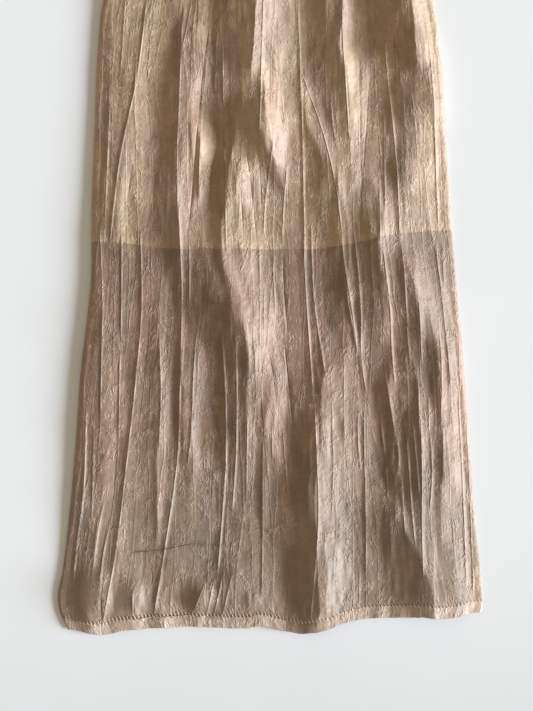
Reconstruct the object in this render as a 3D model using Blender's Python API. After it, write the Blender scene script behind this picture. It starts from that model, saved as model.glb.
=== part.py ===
"""A long crinkled skirt, laid flat: front and back panels, a short lining and an elastic waistband.

Metres, +Z up, +Y towards the waist, +X to the right with the front panel on top. The origin is under the
middle of the skirt, on the surface that it lies on. Each piece is one closed wall of cloth: a grid of outer
points and a grid of inner points, row by row from the hem to the waist, joined round their edges.
"""

import math
from collections import namedtuple

import bpy
import numpy as np

# ---- driving dimensions ------------------------------------------------------------------------------
LENGTH = 0.940  # from the lowest point of the hem to the top of the waistband
BAND_HEIGHT = 0.035
LINING_LENGTH = 0.437  # from the top of the waistband to the lining's hem
GAP = 0.0003  # between two pieces that are sewn together or lie on each other

FRONT_WALL = 0.0013
BACK_WALL = 0.0010
LINING_WALL = 0.0010
BAND_WALL = 0.0034  # two layers of cloth with the elastic between them
BAND_BACK_WALL = 0.0018
BAND_ROLL = 0.008  # width of the waistband's rounded ends
BAND_ROUNDING = 0.0010  # how much lower its long edges are
STEEPEST = 1.45  # the most that a slope makes the front's wall taller
SLOPE_STEP = 0.0005  # the step across which a slope is measured
HEM_TURN = 0.0145  # how far the hem is turned up
HEM_EXTRA = 0.0009  # what the turning adds to the wall
HEM_STEP = 0.0008  # half the length of the step where the turned cloth ends
HEM_HALF_WIDTH = 0.274
BODY_ROWS = 22  # rows of a panel between its hem and the waistband

SEAM_Z = 0.0026  # the front's side edges end here, just above the back's
SIDE_ROLL = 0.010  # how far in from the side edge the front reaches its full height
BACK_ROLL = 0.0023  # radius of the back panel's rounded side edges
LINING_INSET = 0.011  # from the skirt's side edge to the lining's
LINING_ROLL = 0.009
LINING_LIFT = 0.55  # how much of the front's height the front lining shares
BACK_HEM_INSET = 0.006  # the back's hem lies this far inside the front's

LOFT = 0.0085  # height of the front where it has no fold
BAND_LOFT = 0.0084
CORNER_LIFT = 0.0050  # the puffed corner at the left end of the hem
EDGE_SHARE = 0.74  # the loft at the side edges, as a share of the middle's
EDGE_SLOPE = 0.045  # how far inside an edge the loft is full

CRINKLES = 56  # ridges of the pressed crinkle across the front
CRINKLE_HEIGHT = 0.0013
GATHERS = 46  # waves of the gathered waistband
GATHER_HEIGHT = 0.0009

BAND_START = LENGTH - BAND_HEIGHT
PANEL_TOP = BAND_START - GAP
LINING_START = LENGTH - LINING_LENGTH

# ---- tables, all in metres ---------------------------------------------------------------------------
Outline = namedtuple("Outline", "from_hem left right")
OUTLINE = [
    Outline(0.000, 0.2590, 0.2660),
    Outline(0.015, 0.2670, 0.2705),
    Outline(0.031, 0.2735, 0.2748),
    Outline(0.046, 0.2756, 0.2756),
    Outline(0.080, 0.2698, 0.2738),
    Outline(0.159, 0.2603, 0.2659),
    Outline(0.260, 0.2516, 0.2587),
    Outline(0.339, 0.2461, 0.2522),
    Outline(0.426, 0.2358, 0.2450),
    Outline(0.459, 0.2327, 0.2418),
    Outline(0.538, 0.2322, 0.2353),
    Outline(0.666, 0.2275, 0.2279),
    Outline(0.764, 0.2232, 0.2204),
    Outline(0.824, 0.2163, 0.2119),
    Outline(0.870, 0.2030, 0.2000),
    Outline(0.905, 0.1880, 0.1870),
    Outline(0.940, 0.1830, 0.1830),
]

HemPoint = namedtuple("HemPoint", "across rise")
HEM_LINE = [
    HemPoint(-0.276, 0.0060),
    HemPoint(-0.259, 0.0015),
    HemPoint(-0.244, 0.0000),
    HemPoint(-0.203, 0.0056),
    HemPoint(-0.152, 0.0090),
    HemPoint(-0.100, 0.0108),
    HemPoint(-0.034, 0.0088),
    HemPoint(-0.014, 0.0115),
    HemPoint(0.018, 0.0048),
    HemPoint(0.042, 0.0020),
    HemPoint(0.068, 0.0045),
    HemPoint(0.108, 0.0172),
    HemPoint(0.159, 0.0222),
    HemPoint(0.200, 0.0205),
    HemPoint(0.239, 0.0230),
    HemPoint(0.276, 0.0320),
]

# Height of the plain front along the skirt: it dips above the stitched hem and comes down to the waistband.
Loft = namedtuple("Loft", "from_hem share")
LOFT_LINE = [
    Loft(0.000, 0.45),
    Loft(0.014, 0.82),
    Loft(0.032, 0.66),
    Loft(0.060, 0.80),
    Loft(0.110, 1.00),
    Loft(0.780, 1.00),
    Loft(0.860, 0.92),
    Loft(0.905, 0.80),
]

# The folds, in millimetres. A crest runs from low to high above the hem's lowest point, and crest gives its
# distance from the middle line at five places, evenly spaced from low to high. left and right are the widths
# of its two flanks, low_rise and high_rise its height near each end, fade the length over which it dies away
# there, and sharp is 0 for a round crest and 1 for a creased one.
MM = 0.001
Fold = namedtuple("Fold", "low high crest left right low_rise high_rise fade sharp")
FOLDS = {
    "left_edge": Fold(200, 1010, (-242, -225, -213, -205, -198), 16, 40, 2.0, 5.0, 120, 0.45),
    "left_pleat": Fold(430, 1010, (-118, -116, -114, -112, -104), 34, 30, 6.5, 8.5, 90, 0.6),
    "left_rib": Fold(690, 1010, (-84, -88, -91, -91, -90), 20, 16, 4.5, 5.5, 60, 0.6),
    "middle_high": Fold(600, 1010, (-10, -22, -24, -24, -20), 62, 58, 12.5, 15.0, 70, 0.7),
    "right_slant": Fold(600, 740, (78, 62, 46, 36, 34), 20, 24, 4.0, 3.0, 45, 0.5),
    "middle_streak": Fold(560, 700, (22, 11, -5, -17, -22), 20, 40, 6.0, 5.0, 45, 0.7),
    "middle_low": Fold(190, 500, (-38, -30, -26, -36, -58), 62, 56, 10.0, 10.5, 85, 0.65),
    "middle_steep": Fold(430, 710, (-42, -60, -57, -47, -28), 20, 54, 6.5, 7.0, 60, 0.7),
    "left_slope": Fold(350, 560, (-39, -55, -70, -84, -100), 66, 84, 11.0, 8.0, 50, 0.5),
    "right_pleat": Fold(600, 1010, (107, 99, 91, 88, 88), 48, 30, 8.0, 12.0, 80, 0.6),
    "right_wedge": Fold(360, 650, (101, 104, 100, 87, 67), 36, 80, 10.0, 7.0, 60, 0.65),
    "right_gap": Fold(360, 610, (140, 146, 144, 140, 135), 40, 60, 11.0, 8.0, 60, 0.6),
    "right_high": Fold(715, 1010, (193, 184, 174, 164, 156), 54, 26, 12.0, 16.0, 60, 0.65),
    "right_rib": Fold(560, 740, (169, 173, 173, 172, 169), 26, 44, 4.0, 4.0, 50, 0.6),
    "right_rim": Fold(640, 810, (221, 218, 214, 208, 200), 44, 14, 7.0, 5.0, 50, 0.5),
    "right_patch": Fold(400, 640, (169, 172, 172, 172, 173), 26, 42, 3.0, 3.0, 50, 0.5),
    "right_middle": Fold(290, 500, (212, 216, 210, 187, 166), 44, 60, 10.0, 7.0, 55, 0.65),
    "right_line": Fold(150, 370, (172, 166, 160, 157, 153), 24, 18, 6.0, 6.0, 60, 0.7),
    "right_low": Fold(130, 360, (198, 197, 195, 191, 186), 30, 66, 9.0, 8.0, 60, 0.65),
    "corner_hem": Fold(-60, 205, (229, 216, 204, 174, 140), 58, 66, 20.0, 12.0, 70, 0.6),
    "deep_hem": Fold(-60, 390, (65, 64, 60, 63, 75), 58, 56, 22.0, 9.0, 95, 0.75),
    "left_mid_rib": Fold(205, 420, (-113, -112, -113, -112, -112), 14, 17, 2.6, 3.4, 70, 0.6),
    "left_line": Fold(70, 460, (-150, -145, -141, -141, -139), 22, 13, 2.6, 2.6, 90, 0.7),
    "left_step": Fold(170, 420, (-104, -101, -100, -98, -97), 18, 14, 2.4, 2.4, 70, 0.7),
    "middle_line": Fold(120, 340, (-11, -8, -5, -4, -3), 13, 16, 2.4, 2.4, 70, 0.7),
    "hem_light": Fold(-30, 170, (-34, -36, -38, -40, -38), 44, 54, 6.0, 3.4, 60, 0.3),
    "hem_left_1": Fold(-40, 95, (-232, -234, -236, -240, -241), 22, 30, 3.4, 2.6, 60, 0.3),
    "hem_left_2": Fold(-40, 90, (-172, -172, -173, -172, -172), 38, 14, 6.0, 2.6, 50, 0.4),
    "hem_left_3": Fold(-40, 70, (-139, -139, -139, -138, -138), 26, 14, 4.5, 1.8, 45, 0.4),
    "hem_left_4": Fold(-40, 85, (-110, -104, -92, -84, -80), 24, 12, 3.6, 2.0, 45, 0.5),
    "hem_left_5": Fold(-40, 80, (-80, -76, -70, -62, -58), 14, 20, 2.4, 1.2, 45, 0.4),
    "hem_middle": Fold(-40, 60, (-8, -6, -5, -4, -3), 22, 26, 2.8, 1.2, 40, 0.4),
}
# The slow, low waves of cloth that was pressed and lies loose: height, then the count of waves across the
# skirt and along it, and where they start.
Sway = namedtuple("Sway", "height across along start")
SWAYS = [
    Sway(0.45, 9.0, 0.9, 0.4),
    Sway(0.25, 16.0, -1.3, 2.1),
    Sway(0.14, 27.0, 1.7, 4.4),
]

Material = namedtuple("Material", "colour roughness")
MATERIALS = {
    "sheer_crinkle": Material((0.47, 0.36, 0.285), 0.55),
    "lining_satin": Material((0.66, 0.55, 0.43), 0.60),
    "waistband_cloth": Material((0.47, 0.36, 0.285), 0.60),
}


# ---- shape functions ---------------------------------------------------------------------------------
def smooth_step(share):
    """0 below 0, 1 above 1, and a smooth rise between."""
    share = np.clip(share, 0.0, 1.0)
    return share * share * (3.0 - 2.0 * share)


def curve_through(knots, values, at):
    """A smooth curve through the knots, as cubic pieces whose slopes are the neighbours' mean slopes."""
    knots, values = np.asarray(knots, float), np.asarray(values, float)
    slopes = np.gradient(values, knots)
    at = np.clip(np.asarray(at, float), knots[0], knots[-1])
    piece = np.clip(np.searchsorted(knots, at, side="right") - 1, 0, len(knots) - 2)
    span = knots[piece + 1] - knots[piece]
    share = (at - knots[piece]) / span
    rise = values[piece + 1] - values[piece]
    bend_in = slopes[piece] * span - rise
    bend_out = rise - slopes[piece + 1] * span
    return values[piece] + share * rise + share * (1 - share) * ((1 - share) * bend_in + share * bend_out)


def half_width(from_hem, side):
    """Distance of a side edge from the middle line; side is 'left' or 'right'."""
    return curve_through([row.from_hem for row in OUTLINE], [getattr(row, side) for row in OUTLINE], from_hem)


def hem_rise(across):
    """How far the hem's edge lies above the hem's lowest point."""
    return curve_through([row.across for row in HEM_LINE], [row.rise for row in HEM_LINE], across)


def fold_height(fold, across, from_hem):
    """Height that one fold adds: a ridge with two flanks, narrowing and fading out at both ends of its crest."""
    stations = np.linspace(fold.low, fold.high, len(fold.crest)) * MM
    crest = curve_through(stations, np.array(fold.crest) * MM, from_hem)
    along = np.clip((from_hem - stations[0]) / (stations[-1] - stations[0]), 0.0, 1.0)
    rise = (fold.low_rise + (fold.high_rise - fold.low_rise) * along) * MM
    fade = smooth_step((from_hem - stations[0]) / (fold.fade * MM))
    fade = fade * smooth_step((stations[-1] - from_hem) / (fold.fade * MM))
    narrow = 0.45 + 0.55 * fade
    away = across - crest
    share = np.where(away < 0.0, -away / (fold.left * MM), away / (fold.right * MM)) / narrow
    share = np.clip(share, 0.0, 1.0)
    round_crest = 0.5 * (1.0 + np.cos(math.pi * share))
    creased = (1.0 - share) ** 1.35
    return rise * fade * ((1.0 - fold.sharp) * round_crest + fold.sharp * creased)


def sway_height(across, from_hem):
    """The slow waves of the loose cloth, never below the loft by more than their own height."""
    total = 0.0
    for sway in SWAYS:
        bend = 0.35 * np.sin(4.0 * from_hem + sway.start)
        phase = 2.0 * math.pi * (sway.across * across + sway.along * from_hem) + sway.start + bend
        total = total + sway.height * MM * np.sin(phase)
    return total


def front_height(across, from_hem):
    """Height of the front's smooth cloth above the surface: the loft, the slow waves and every fold.

    The loft is lower at the side edges, but not at the waistband.
    """
    share = curve_through([row.from_hem for row in LOFT_LINE], [row.share for row in LOFT_LINE], from_hem)
    folds = sum(fold_height(fold, across, from_hem) for fold in FOLDS.values())
    folds = folds + sway_height(across, from_hem)
    hem_calm = 0.50 + 0.50 * smooth_step(from_hem / 0.075)
    band_calm = 1.0 - 0.93 * smooth_step((from_hem - 0.845) / (BAND_START - 0.845))
    corner = CORNER_LIFT * np.exp(-(((across + 0.225) / 0.045) ** 2) - ((from_hem - 0.050) / 0.045) ** 2)
    side_edge = np.where(across < 0.0, half_width(from_hem, "left"), half_width(from_hem, "right"))
    crown = smooth_step((side_edge - np.abs(across)) / EDGE_SLOPE)
    crown = EDGE_SHARE + (1.0 - EDGE_SHARE) * np.maximum(crown, smooth_step((from_hem - 0.80) / 0.06))
    return LOFT * share * crown + folds * hem_calm * band_calm + corner


def wander(share, from_hem):
    """Sideways drift of the crinkle lines, as a share of the half-width; nothing at the side edges."""
    slow = 0.020 * np.sin(7.0 * share + 9.0 * from_hem + 0.6) + 0.014 * np.sin(13.0 * share - 15.0 * from_hem)
    quick = 0.0035 * np.sin(41.0 * share + 52.0 * from_hem + 1.9)
    return (slow + quick) * (1.0 - share**2)


def crinkle_strength(ridge, from_hem):
    """How tall a crinkle ridge is at a place, from 0.2 to 1: each fades in and out along its length."""
    wave = np.sin(from_hem * (11.0 + 5.0 * np.sin(2.1 * ridge)) + 2.4 * ridge)
    return 0.60 + 0.40 * wave * np.sin(5.3 * ridge + 0.7)


# ---- building blocks ---------------------------------------------------------------------------------
def new_material(name):
    """A principled material with the piece's colour."""
    values = MATERIALS[name]
    material = bpy.data.materials.new(name)
    material.use_nodes = True
    shader = material.node_tree.nodes["Principled BSDF"]
    shader.inputs["Base Color"].default_value = (*values.colour, 1.0)
    shader.inputs["Roughness"].default_value = values.roughness
    return material


def grid_faces(first, rows, columns, turned):
    """Quads of a grid of points that starts at index first; turned flips them to face the other way."""
    faces = []
    for row in range(rows - 1):
        for column in range(columns - 1):
            corner = first + row * columns + column
            quad = (corner, corner + 1, corner + columns + 1, corner + columns)
            faces.append(quad[::-1] if turned else quad)
    return faces


def side_rim(outer, inner, turned):
    """Quads between two edges that have the same number of points."""
    faces = []
    for step in range(len(outer) - 1):
        quad = (outer[step], outer[step + 1], inner[step + 1], inner[step])
        faces.append(quad[::-1] if turned else quad)
    return faces


def end_rim(outer, inner, stride, turned):
    """Faces between an outer edge and an inner edge that has only every stride-th point."""
    faces = []
    for step in range(len(inner) - 1):
        run = list(outer[step * stride : (step + 1) * stride + 1])
        face = (*run, inner[step + 1], inner[step])
        faces.append(face[::-1] if turned else face)
    return faces


def cloth_wall(name, outer, inner, stride, material):
    """One closed wall of cloth.

    outer and inner are grids of points [row][column] with the rows towards +Y and the columns towards +X.
    The inner grid lies below the outer one and has every stride-th of its columns.
    """
    rows, columns = outer.shape[:2]
    inner_columns = inner.shape[1]
    outer_index = np.arange(rows * columns).reshape(rows, columns)
    inner_index = rows * columns + np.arange(rows * inner_columns).reshape(rows, inner_columns)
    faces = grid_faces(0, rows, columns, turned=False)
    faces += grid_faces(rows * columns, rows, inner_columns, turned=True)
    faces += side_rim(outer_index[:, 0].tolist(), inner_index[:, 0].tolist(), turned=False)
    faces += side_rim(outer_index[:, -1].tolist(), inner_index[:, -1].tolist(), turned=True)
    faces += end_rim(outer_index[0].tolist(), inner_index[0].tolist(), stride, turned=True)
    faces += end_rim(outer_index[-1].tolist(), inner_index[-1].tolist(), stride, turned=False)
    mesh = bpy.data.meshes.new(name)
    points = np.concatenate([outer.reshape(-1, 3), inner.reshape(-1, 3)])
    mesh.from_pydata(points.tolist(), [], faces)
    mesh.validate()
    mesh.shade_smooth()
    mesh.set_sharp_from_angle(angle=math.radians(50.0))
    mesh.materials.append(material)
    piece = bpy.data.objects.new(name, mesh)
    bpy.context.scene.collection.objects.link(piece)
    return piece


def points_of(across, from_hem, height):
    """Stacks three grids into points, with the hem at -Y."""
    return np.stack(np.broadcast_arrays(across, from_hem - LENGTH / 2.0, height), axis=-1)


def add_sides(top, left_side, right_side):
    """Joins the columns of a piece's two sides, each listed from its seam inwards, to the columns between."""
    return np.concatenate([left_side, top, right_side[:, ::-1]], axis=1)


# The side edges of a piece: edge(from_hem, side) is their place, roll the width of the rounding and steps its
# number of columns.
Sides = namedtuple("Sides", "edge roll steps")


def domed_piece(name, shares, from_hem, sides, surface, wall, relief, material, stride=1):
    """A wall that arches over what lies under it and comes down to a seam at each side.

    shares are the columns of the top, from -1 at its left to 1 at its right, and from_hem their distances from
    the hem, [row][column]. surface(across, from_hem) is the smooth height, wall the thickness and relief what
    the outer points stand above the smooth height. The inner points keep every stride-th column.
    """
    place = shares[None, :] + wander(shares[None, :], from_hem)
    half_left = sides.edge(from_hem, "left") - sides.roll
    half_right = sides.edge(from_hem, "right") - sides.roll
    across = np.where(place < 0.0, place * half_left, place * half_right)
    smooth = surface(across, from_hem)
    slope = (surface(across + SLOPE_STEP, from_hem) - surface(across - SLOPE_STEP, from_hem)) / (2.0 * SLOPE_STEP)
    wall = np.broadcast_to(wall, smooth.shape)
    outer = points_of(across, from_hem, smooth + relief)
    inner = points_of(across, from_hem, smooth - wall * np.sqrt(1.0 + slope**2))
    angle = np.arange(sides.steps)[None, :] / sides.steps * (math.pi / 2.0)
    outer_sides, inner_sides = [], []
    for column, out in ((0, -1.0), (-1, 1.0)):
        start, rows, high, thick = (grid[:, column, None] for grid in (across, from_hem, smooth, wall))
        rise = high - SEAM_Z
        reach = out * sides.roll * np.cos(angle)
        reach_inside = out * (sides.roll - thick) * np.cos(angle)
        outer_sides.append(points_of(start + reach, rows, SEAM_Z + rise * np.sin(angle)))
        inner_sides.append(points_of(start + reach_inside, rows, SEAM_Z + (rise - thick) * np.sin(angle)))
    outer = add_sides(outer, *outer_sides)
    inner = add_sides(inner, *inner_sides)
    return cloth_wall(name, outer, inner[:, ::stride], stride, material)


def flat_piece(name, shares, from_hem, sides, low, high, material):
    """A wall that lies flat from low to high, its sides curling up to meet the piece on top of it."""
    half_left = sides.edge(from_hem, "left") - sides.roll
    half_right = sides.edge(from_hem, "right") - sides.roll
    across = np.where(shares < 0.0, shares * half_left, shares * half_right)
    angle = np.arange(sides.steps)[None, :] / sides.steps * (math.pi / 2.0)
    inner_roll = sides.roll - (high - low)
    upper_sides, lower_sides = [], []
    for column, out in ((0, -1.0), (-1, 1.0)):
        start, rows = across[:, column, None], from_hem[:, column, None]
        seam = low + sides.roll
        lower_sides.append(
            points_of(start + out * sides.roll * np.cos(angle), rows, seam - sides.roll * np.sin(angle))
        )
        upper_sides.append(
            points_of(start + out * inner_roll * np.cos(angle), rows, seam - inner_roll * np.sin(angle))
        )
    upper = add_sides(points_of(across, from_hem, high), *upper_sides)
    lower = add_sides(points_of(across, from_hem, low), *lower_sides)
    return cloth_wall(name, upper, lower, 1, material)


def rows_above_hem(shares, first_rows, count, top):
    """Distances from the hem, [row][column]: rows that follow the hem's own line, then even ones up to top.

    first_rows are the distances of the first rows above the hem's edge, and count is the number of rows that
    are spread evenly from the last of them to top.
    """
    edge = hem_rise(shares * HEM_HALF_WIDTH)[None, :]
    low = edge + np.array(first_rows)[:, None]
    steps = (np.arange(count) + 1.0)[:, None] / count
    return np.concatenate([low, low[-1:] + (top - low[-1:]) * steps], axis=0)


def level_rows(shares, low, high, count):
    """Distances from the hem, [row][column], of count level rows from low to high."""
    return np.broadcast_to(np.linspace(low, high, count)[:, None], (count, shares.size))


# ---- the pieces --------------------------------------------------------------------------------------
def make_front(material):
    """The front panel: the pressed crinkle on the large folds, with its turned hem."""
    shares = np.linspace(-1.0, 1.0, 2 * CRINKLES + 1)
    hem_rows = (0.0, 0.005, HEM_TURN - HEM_STEP, HEM_TURN + HEM_STEP, 0.030, 0.055)
    from_hem = rows_above_hem(shares, hem_rows, BODY_ROWS, PANEL_TOP)
    above_edge = from_hem - from_hem[0]
    wall = FRONT_WALL + HEM_EXTRA * (above_edge < HEM_TURN)
    column = np.arange(shares.size)[None, :]
    crest = column % 2
    calm = 0.35 + 0.65 * smooth_step((from_hem - HEM_TURN) / 0.03)
    relief = CRINKLE_HEIGHT * crest * crinkle_strength(column // 2, from_hem) * calm
    sides = Sides(half_width, SIDE_ROLL, 6)
    domed_piece("front_panel", shares, from_hem, sides, front_height, wall, relief, material, stride=2)


def make_back(material):
    """The back panel: it lies flat on the surface, its hem just inside the front's."""
    shares = np.linspace(-1.0, 1.0, 13)
    hem_rows = (BACK_HEM_INSET, 0.018, 0.032, 0.055)
    from_hem = rows_above_hem(shares, hem_rows, BODY_ROWS, PANEL_TOP)
    flat_piece("back_panel", shares, from_hem, Sides(half_width, BACK_ROLL, 3), 0.0, BACK_WALL, material)


def lining_edge(from_hem, side):
    """Side edge of the lining, inside the skirt's."""
    return half_width(from_hem, side) - LINING_INSET


def front_lining_height(across, from_hem):
    """Outer height of the front lining: it shares part of the front's height, and all of it at the waist."""
    under_front = front_height(across, from_hem) - STEEPEST * FRONT_WALL - GAP
    lowest = SEAM_Z + LINING_WALL
    share = LINING_LIFT + (0.97 - LINING_LIFT) * smooth_step((from_hem - 0.84) / 0.06)
    return lowest + share * np.maximum(under_front - lowest, 0.0)


def make_lining(material):
    """The short lining, front and back, whose hem shows through the crinkled cloth."""
    shares = np.linspace(-1.0, 1.0, 33)
    rows = level_rows(shares, LINING_START, PANEL_TOP, 11)
    sides = Sides(lining_edge, LINING_ROLL, 4)
    domed_piece("lining_front", shares, rows, sides, front_lining_height, LINING_WALL, 0.0, material)
    shares = np.linspace(-1.0, 1.0, 13)
    rows = level_rows(shares, LINING_START, PANEL_TOP, 11)
    low = BACK_WALL + GAP
    flat_piece("lining_back", shares, rows, Sides(lining_edge, LINING_WALL, 3), low, low + LINING_WALL, material)


def band_height(across, from_hem):
    """Height of the waistband's smooth front: a little lower at its two long edges."""
    from_middle = np.abs(from_hem - (BAND_START + LENGTH) / 2.0) / (BAND_HEIGHT / 2.0)
    return BAND_LOFT - BAND_ROUNDING * from_middle**4 + 0.0 * across


def make_waistband(material):
    """The elastic waistband: a gathered front casing and the back casing that it lies on."""
    shares = np.linspace(-1.0, 1.0, 2 * GATHERS + 1)
    rows = level_rows(shares, BAND_START, LENGTH, 5)
    column = np.arange(shares.size)[None, :]
    relief = GATHER_HEIGHT * (column % 2) * (0.75 + 0.25 * np.sin(1.7 * column))
    sides = Sides(half_width, BAND_ROLL, 4)
    domed_piece("waistband_front", shares, rows, sides, band_height, BAND_WALL, relief, material, stride=2)
    shares = np.linspace(-1.0, 1.0, 15)
    rows = level_rows(shares, BAND_START, LENGTH, 3)
    flat_piece("waistband_back", shares, rows, Sides(half_width, BACK_ROLL, 3), 0.0, BAND_BACK_WALL, material)


def main():
    """Clears the scene and makes the skirt."""
    for old in list(bpy.data.objects):
        bpy.data.objects.remove(old)
    materials = {name: new_material(name) for name in MATERIALS}
    make_front(materials["sheer_crinkle"])
    make_back(materials["sheer_crinkle"])
    make_lining(materials["lining_satin"])
    make_waistband(materials["waistband_cloth"])


main()
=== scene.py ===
"""Dresses a long crinkled skirt that lies flat on its back, seen from straight above.

Metres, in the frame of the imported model: +Z up, +Y from the hem to the waist, +X to the right. Places on the
skirt are given as across, the distance from the middle line, and from_hem, the distance from the lowest point
of the hem. Every cloth piece is a surface worked out on a grid of those two, row by row from hem to waist.
"""

from __future__ import annotations

import logging
import math
from collections.abc import Sequence
from dataclasses import dataclass
from enum import Enum
from typing import Any

import bpy
import numpy as np
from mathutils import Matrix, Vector

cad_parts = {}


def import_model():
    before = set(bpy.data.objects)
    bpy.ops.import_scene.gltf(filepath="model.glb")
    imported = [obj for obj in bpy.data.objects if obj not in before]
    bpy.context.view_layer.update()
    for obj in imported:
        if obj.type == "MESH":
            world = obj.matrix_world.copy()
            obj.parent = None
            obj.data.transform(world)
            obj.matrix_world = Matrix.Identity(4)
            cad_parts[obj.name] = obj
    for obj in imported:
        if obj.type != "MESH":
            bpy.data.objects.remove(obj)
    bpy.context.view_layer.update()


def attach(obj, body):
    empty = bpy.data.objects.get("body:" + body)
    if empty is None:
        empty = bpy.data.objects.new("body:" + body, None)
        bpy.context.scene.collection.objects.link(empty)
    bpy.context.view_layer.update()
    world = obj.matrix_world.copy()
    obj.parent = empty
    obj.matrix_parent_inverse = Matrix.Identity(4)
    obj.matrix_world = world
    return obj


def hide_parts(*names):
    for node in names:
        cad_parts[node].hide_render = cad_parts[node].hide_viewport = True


LOG = logging.getLogger("skirt")
Array = np.ndarray
Range = tuple[float, float]
MM = 0.001
HEM_TURN = 0.0145  # depth of the hem's turning, in metres
STITCH_PITCH = 0.0047  # from one hem stitch to the next, in metres
STITCH_SLANT = 0.5  # how far a stitch runs along the hem for each metre up


# ---- small tools -------------------------------------------------------------------------------------
class Side(Enum):
    """The two side edges of the skirt, as seen from above with the hem at the bottom."""

    LEFT = -1.0
    RIGHT = 1.0


def smooth_step(share: Array) -> Array:
    """0 below 0, 1 above 1, and 3s^2 - 2s^3 between."""
    share = np.clip(share, 0.0, 1.0)
    return share * share * (3.0 - 2.0 * share)


@dataclass(frozen=True)
class Line:
    """A smooth line through a short list of (place, value) points."""

    points: tuple[tuple[float, float], ...]

    def at(self, where: Array) -> Array:
        """The line's value at each place.

        Cubic pieces whose slope at a point is the mean slope of its neighbours; level beyond the ends.

        Args:
            where: places, of any shape.

        Returns:
            The values, of the same shape.
        """
        knots, values = np.array(self.points, float).T
        slopes = np.gradient(values, knots)
        where = np.clip(np.asarray(where, float), knots[0], knots[-1])
        piece = np.clip(np.searchsorted(knots, where, side="right") - 1, 0, len(knots) - 2)
        span = knots[piece + 1] - knots[piece]
        share = (where - knots[piece]) / span
        rise = values[piece + 1] - values[piece]
        bend_in = slopes[piece] * span - rise
        bend_out = rise - slopes[piece + 1] * span
        return values[piece] + share * rise + share * (1 - share) * ((1 - share) * bend_in + share * bend_out)


@dataclass(frozen=True)
class Noise:
    """Smooth random patches: their size across and along, their start, a seed, and the reach of swing."""

    across: float
    along: float
    start: tuple[float, float]
    seed: int
    reach: float = 1.0
    table_size: int = 96

    def at(self, across: Array, along: Array | float = 0.0) -> Array:
        """Values from 0 to 1: random values on a unit grid with smooth steps between them."""
        x, y = across / self.across + self.start[0], along / self.along + self.start[1]
        values = np.random.default_rng(self.seed).random((self.table_size, self.table_size))
        column, row = np.floor(x).astype(int), np.floor(y).astype(int)
        right, up = smooth_step(x - column), smooth_step(y - row)
        size = self.table_size
        corner = [values[(column + i) % size, (row + j) % size] for j in (0, 1) for i in (0, 1)]
        low = corner[0] * (1 - right) + corner[1] * right
        high = corner[2] * (1 - right) + corner[3] * right
        return low * (1 - up) + high * up

    def swing(self, across: Array, along: Array | float = 0.0) -> Array:
        """Values from minus to plus half the reach."""
        return self.reach * (self.at(across, along) - 0.5)


# ---- the form of the laid skirt ----------------------------------------------------------------------
@dataclass(frozen=True)
class Fold:
    """One large fold, in millimetres, as the solids have it.

    Its crest runs from low to high above the hem's lowest point, at the distances in crest from the middle
    line, evenly spaced. left and right are the widths of its flanks, low_rise and high_rise its height near
    each end, fade the length over which it dies away, and sharp is 0 for a round crest, 1 for a creased one.
    At its ends the flanks narrow to the share in end_width, and tip is the power of a creased crest.
    """

    low: float
    high: float
    crest: tuple[float, ...]
    left: float
    right: float
    low_rise: float
    high_rise: float
    fade: float
    sharp: float
    end_width: float = 0.45
    tip: float = 1.35

    def height(self, across: Array, from_hem: Array) -> Array:
        """Height that the fold adds.

        With s the distance from the crest as a share of the flank's width, the profile is a mix of
        (1 + cos(pi s)) / 2 and (1 - s)^tip, times the rise and a smooth fade at both ends.

        Args:
            across: distance from the middle line, in metres.
            from_hem: distance from the hem's lowest point, in metres.

        Returns:
            Heights in metres.
        """
        stations = np.linspace(self.low, self.high, len(self.crest)) * MM
        crest = Line(tuple(zip(stations, np.array(self.crest) * MM))).at(from_hem)
        along = np.clip((from_hem - stations[0]) / (stations[-1] - stations[0]), 0.0, 1.0)
        rise = (self.low_rise + (self.high_rise - self.low_rise) * along) * MM
        fade = smooth_step((from_hem - stations[0]) / (self.fade * MM))
        fade = fade * smooth_step((stations[-1] - from_hem) / (self.fade * MM))
        narrow = self.end_width + (1.0 - self.end_width) * fade
        away = across - crest
        share = np.where(away < 0.0, -away / (self.left * MM), away / (self.right * MM)) / narrow
        share = np.clip(share, 0.0, 1.0)
        round_crest = 0.5 * (1.0 + np.cos(math.pi * share))
        return rise * fade * ((1.0 - self.sharp) * round_crest + self.sharp * (1.0 - share) ** self.tip)


@dataclass(frozen=True)
class Sway:
    """A slow, low wave of the loose cloth: height in millimetres, waves a metre across and along, its start.

    bend is how far its direction bends to and fro, in radians of the wave, and bend_pace how fast.
    """

    height: float
    across: float
    along: float
    start: float
    bend: float = 0.35
    bend_pace: float = 4.0

    def at(self, across: Array, from_hem: Array) -> Array:
        """Height of the wave: a sine along a direction that bends gently along the skirt."""
        bend = self.bend * np.sin(self.bend_pace * from_hem + self.start)
        phase = 2.0 * math.pi * (self.across * across + self.along * from_hem) + self.start + bend
        return self.height * MM * np.sin(phase)


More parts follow.
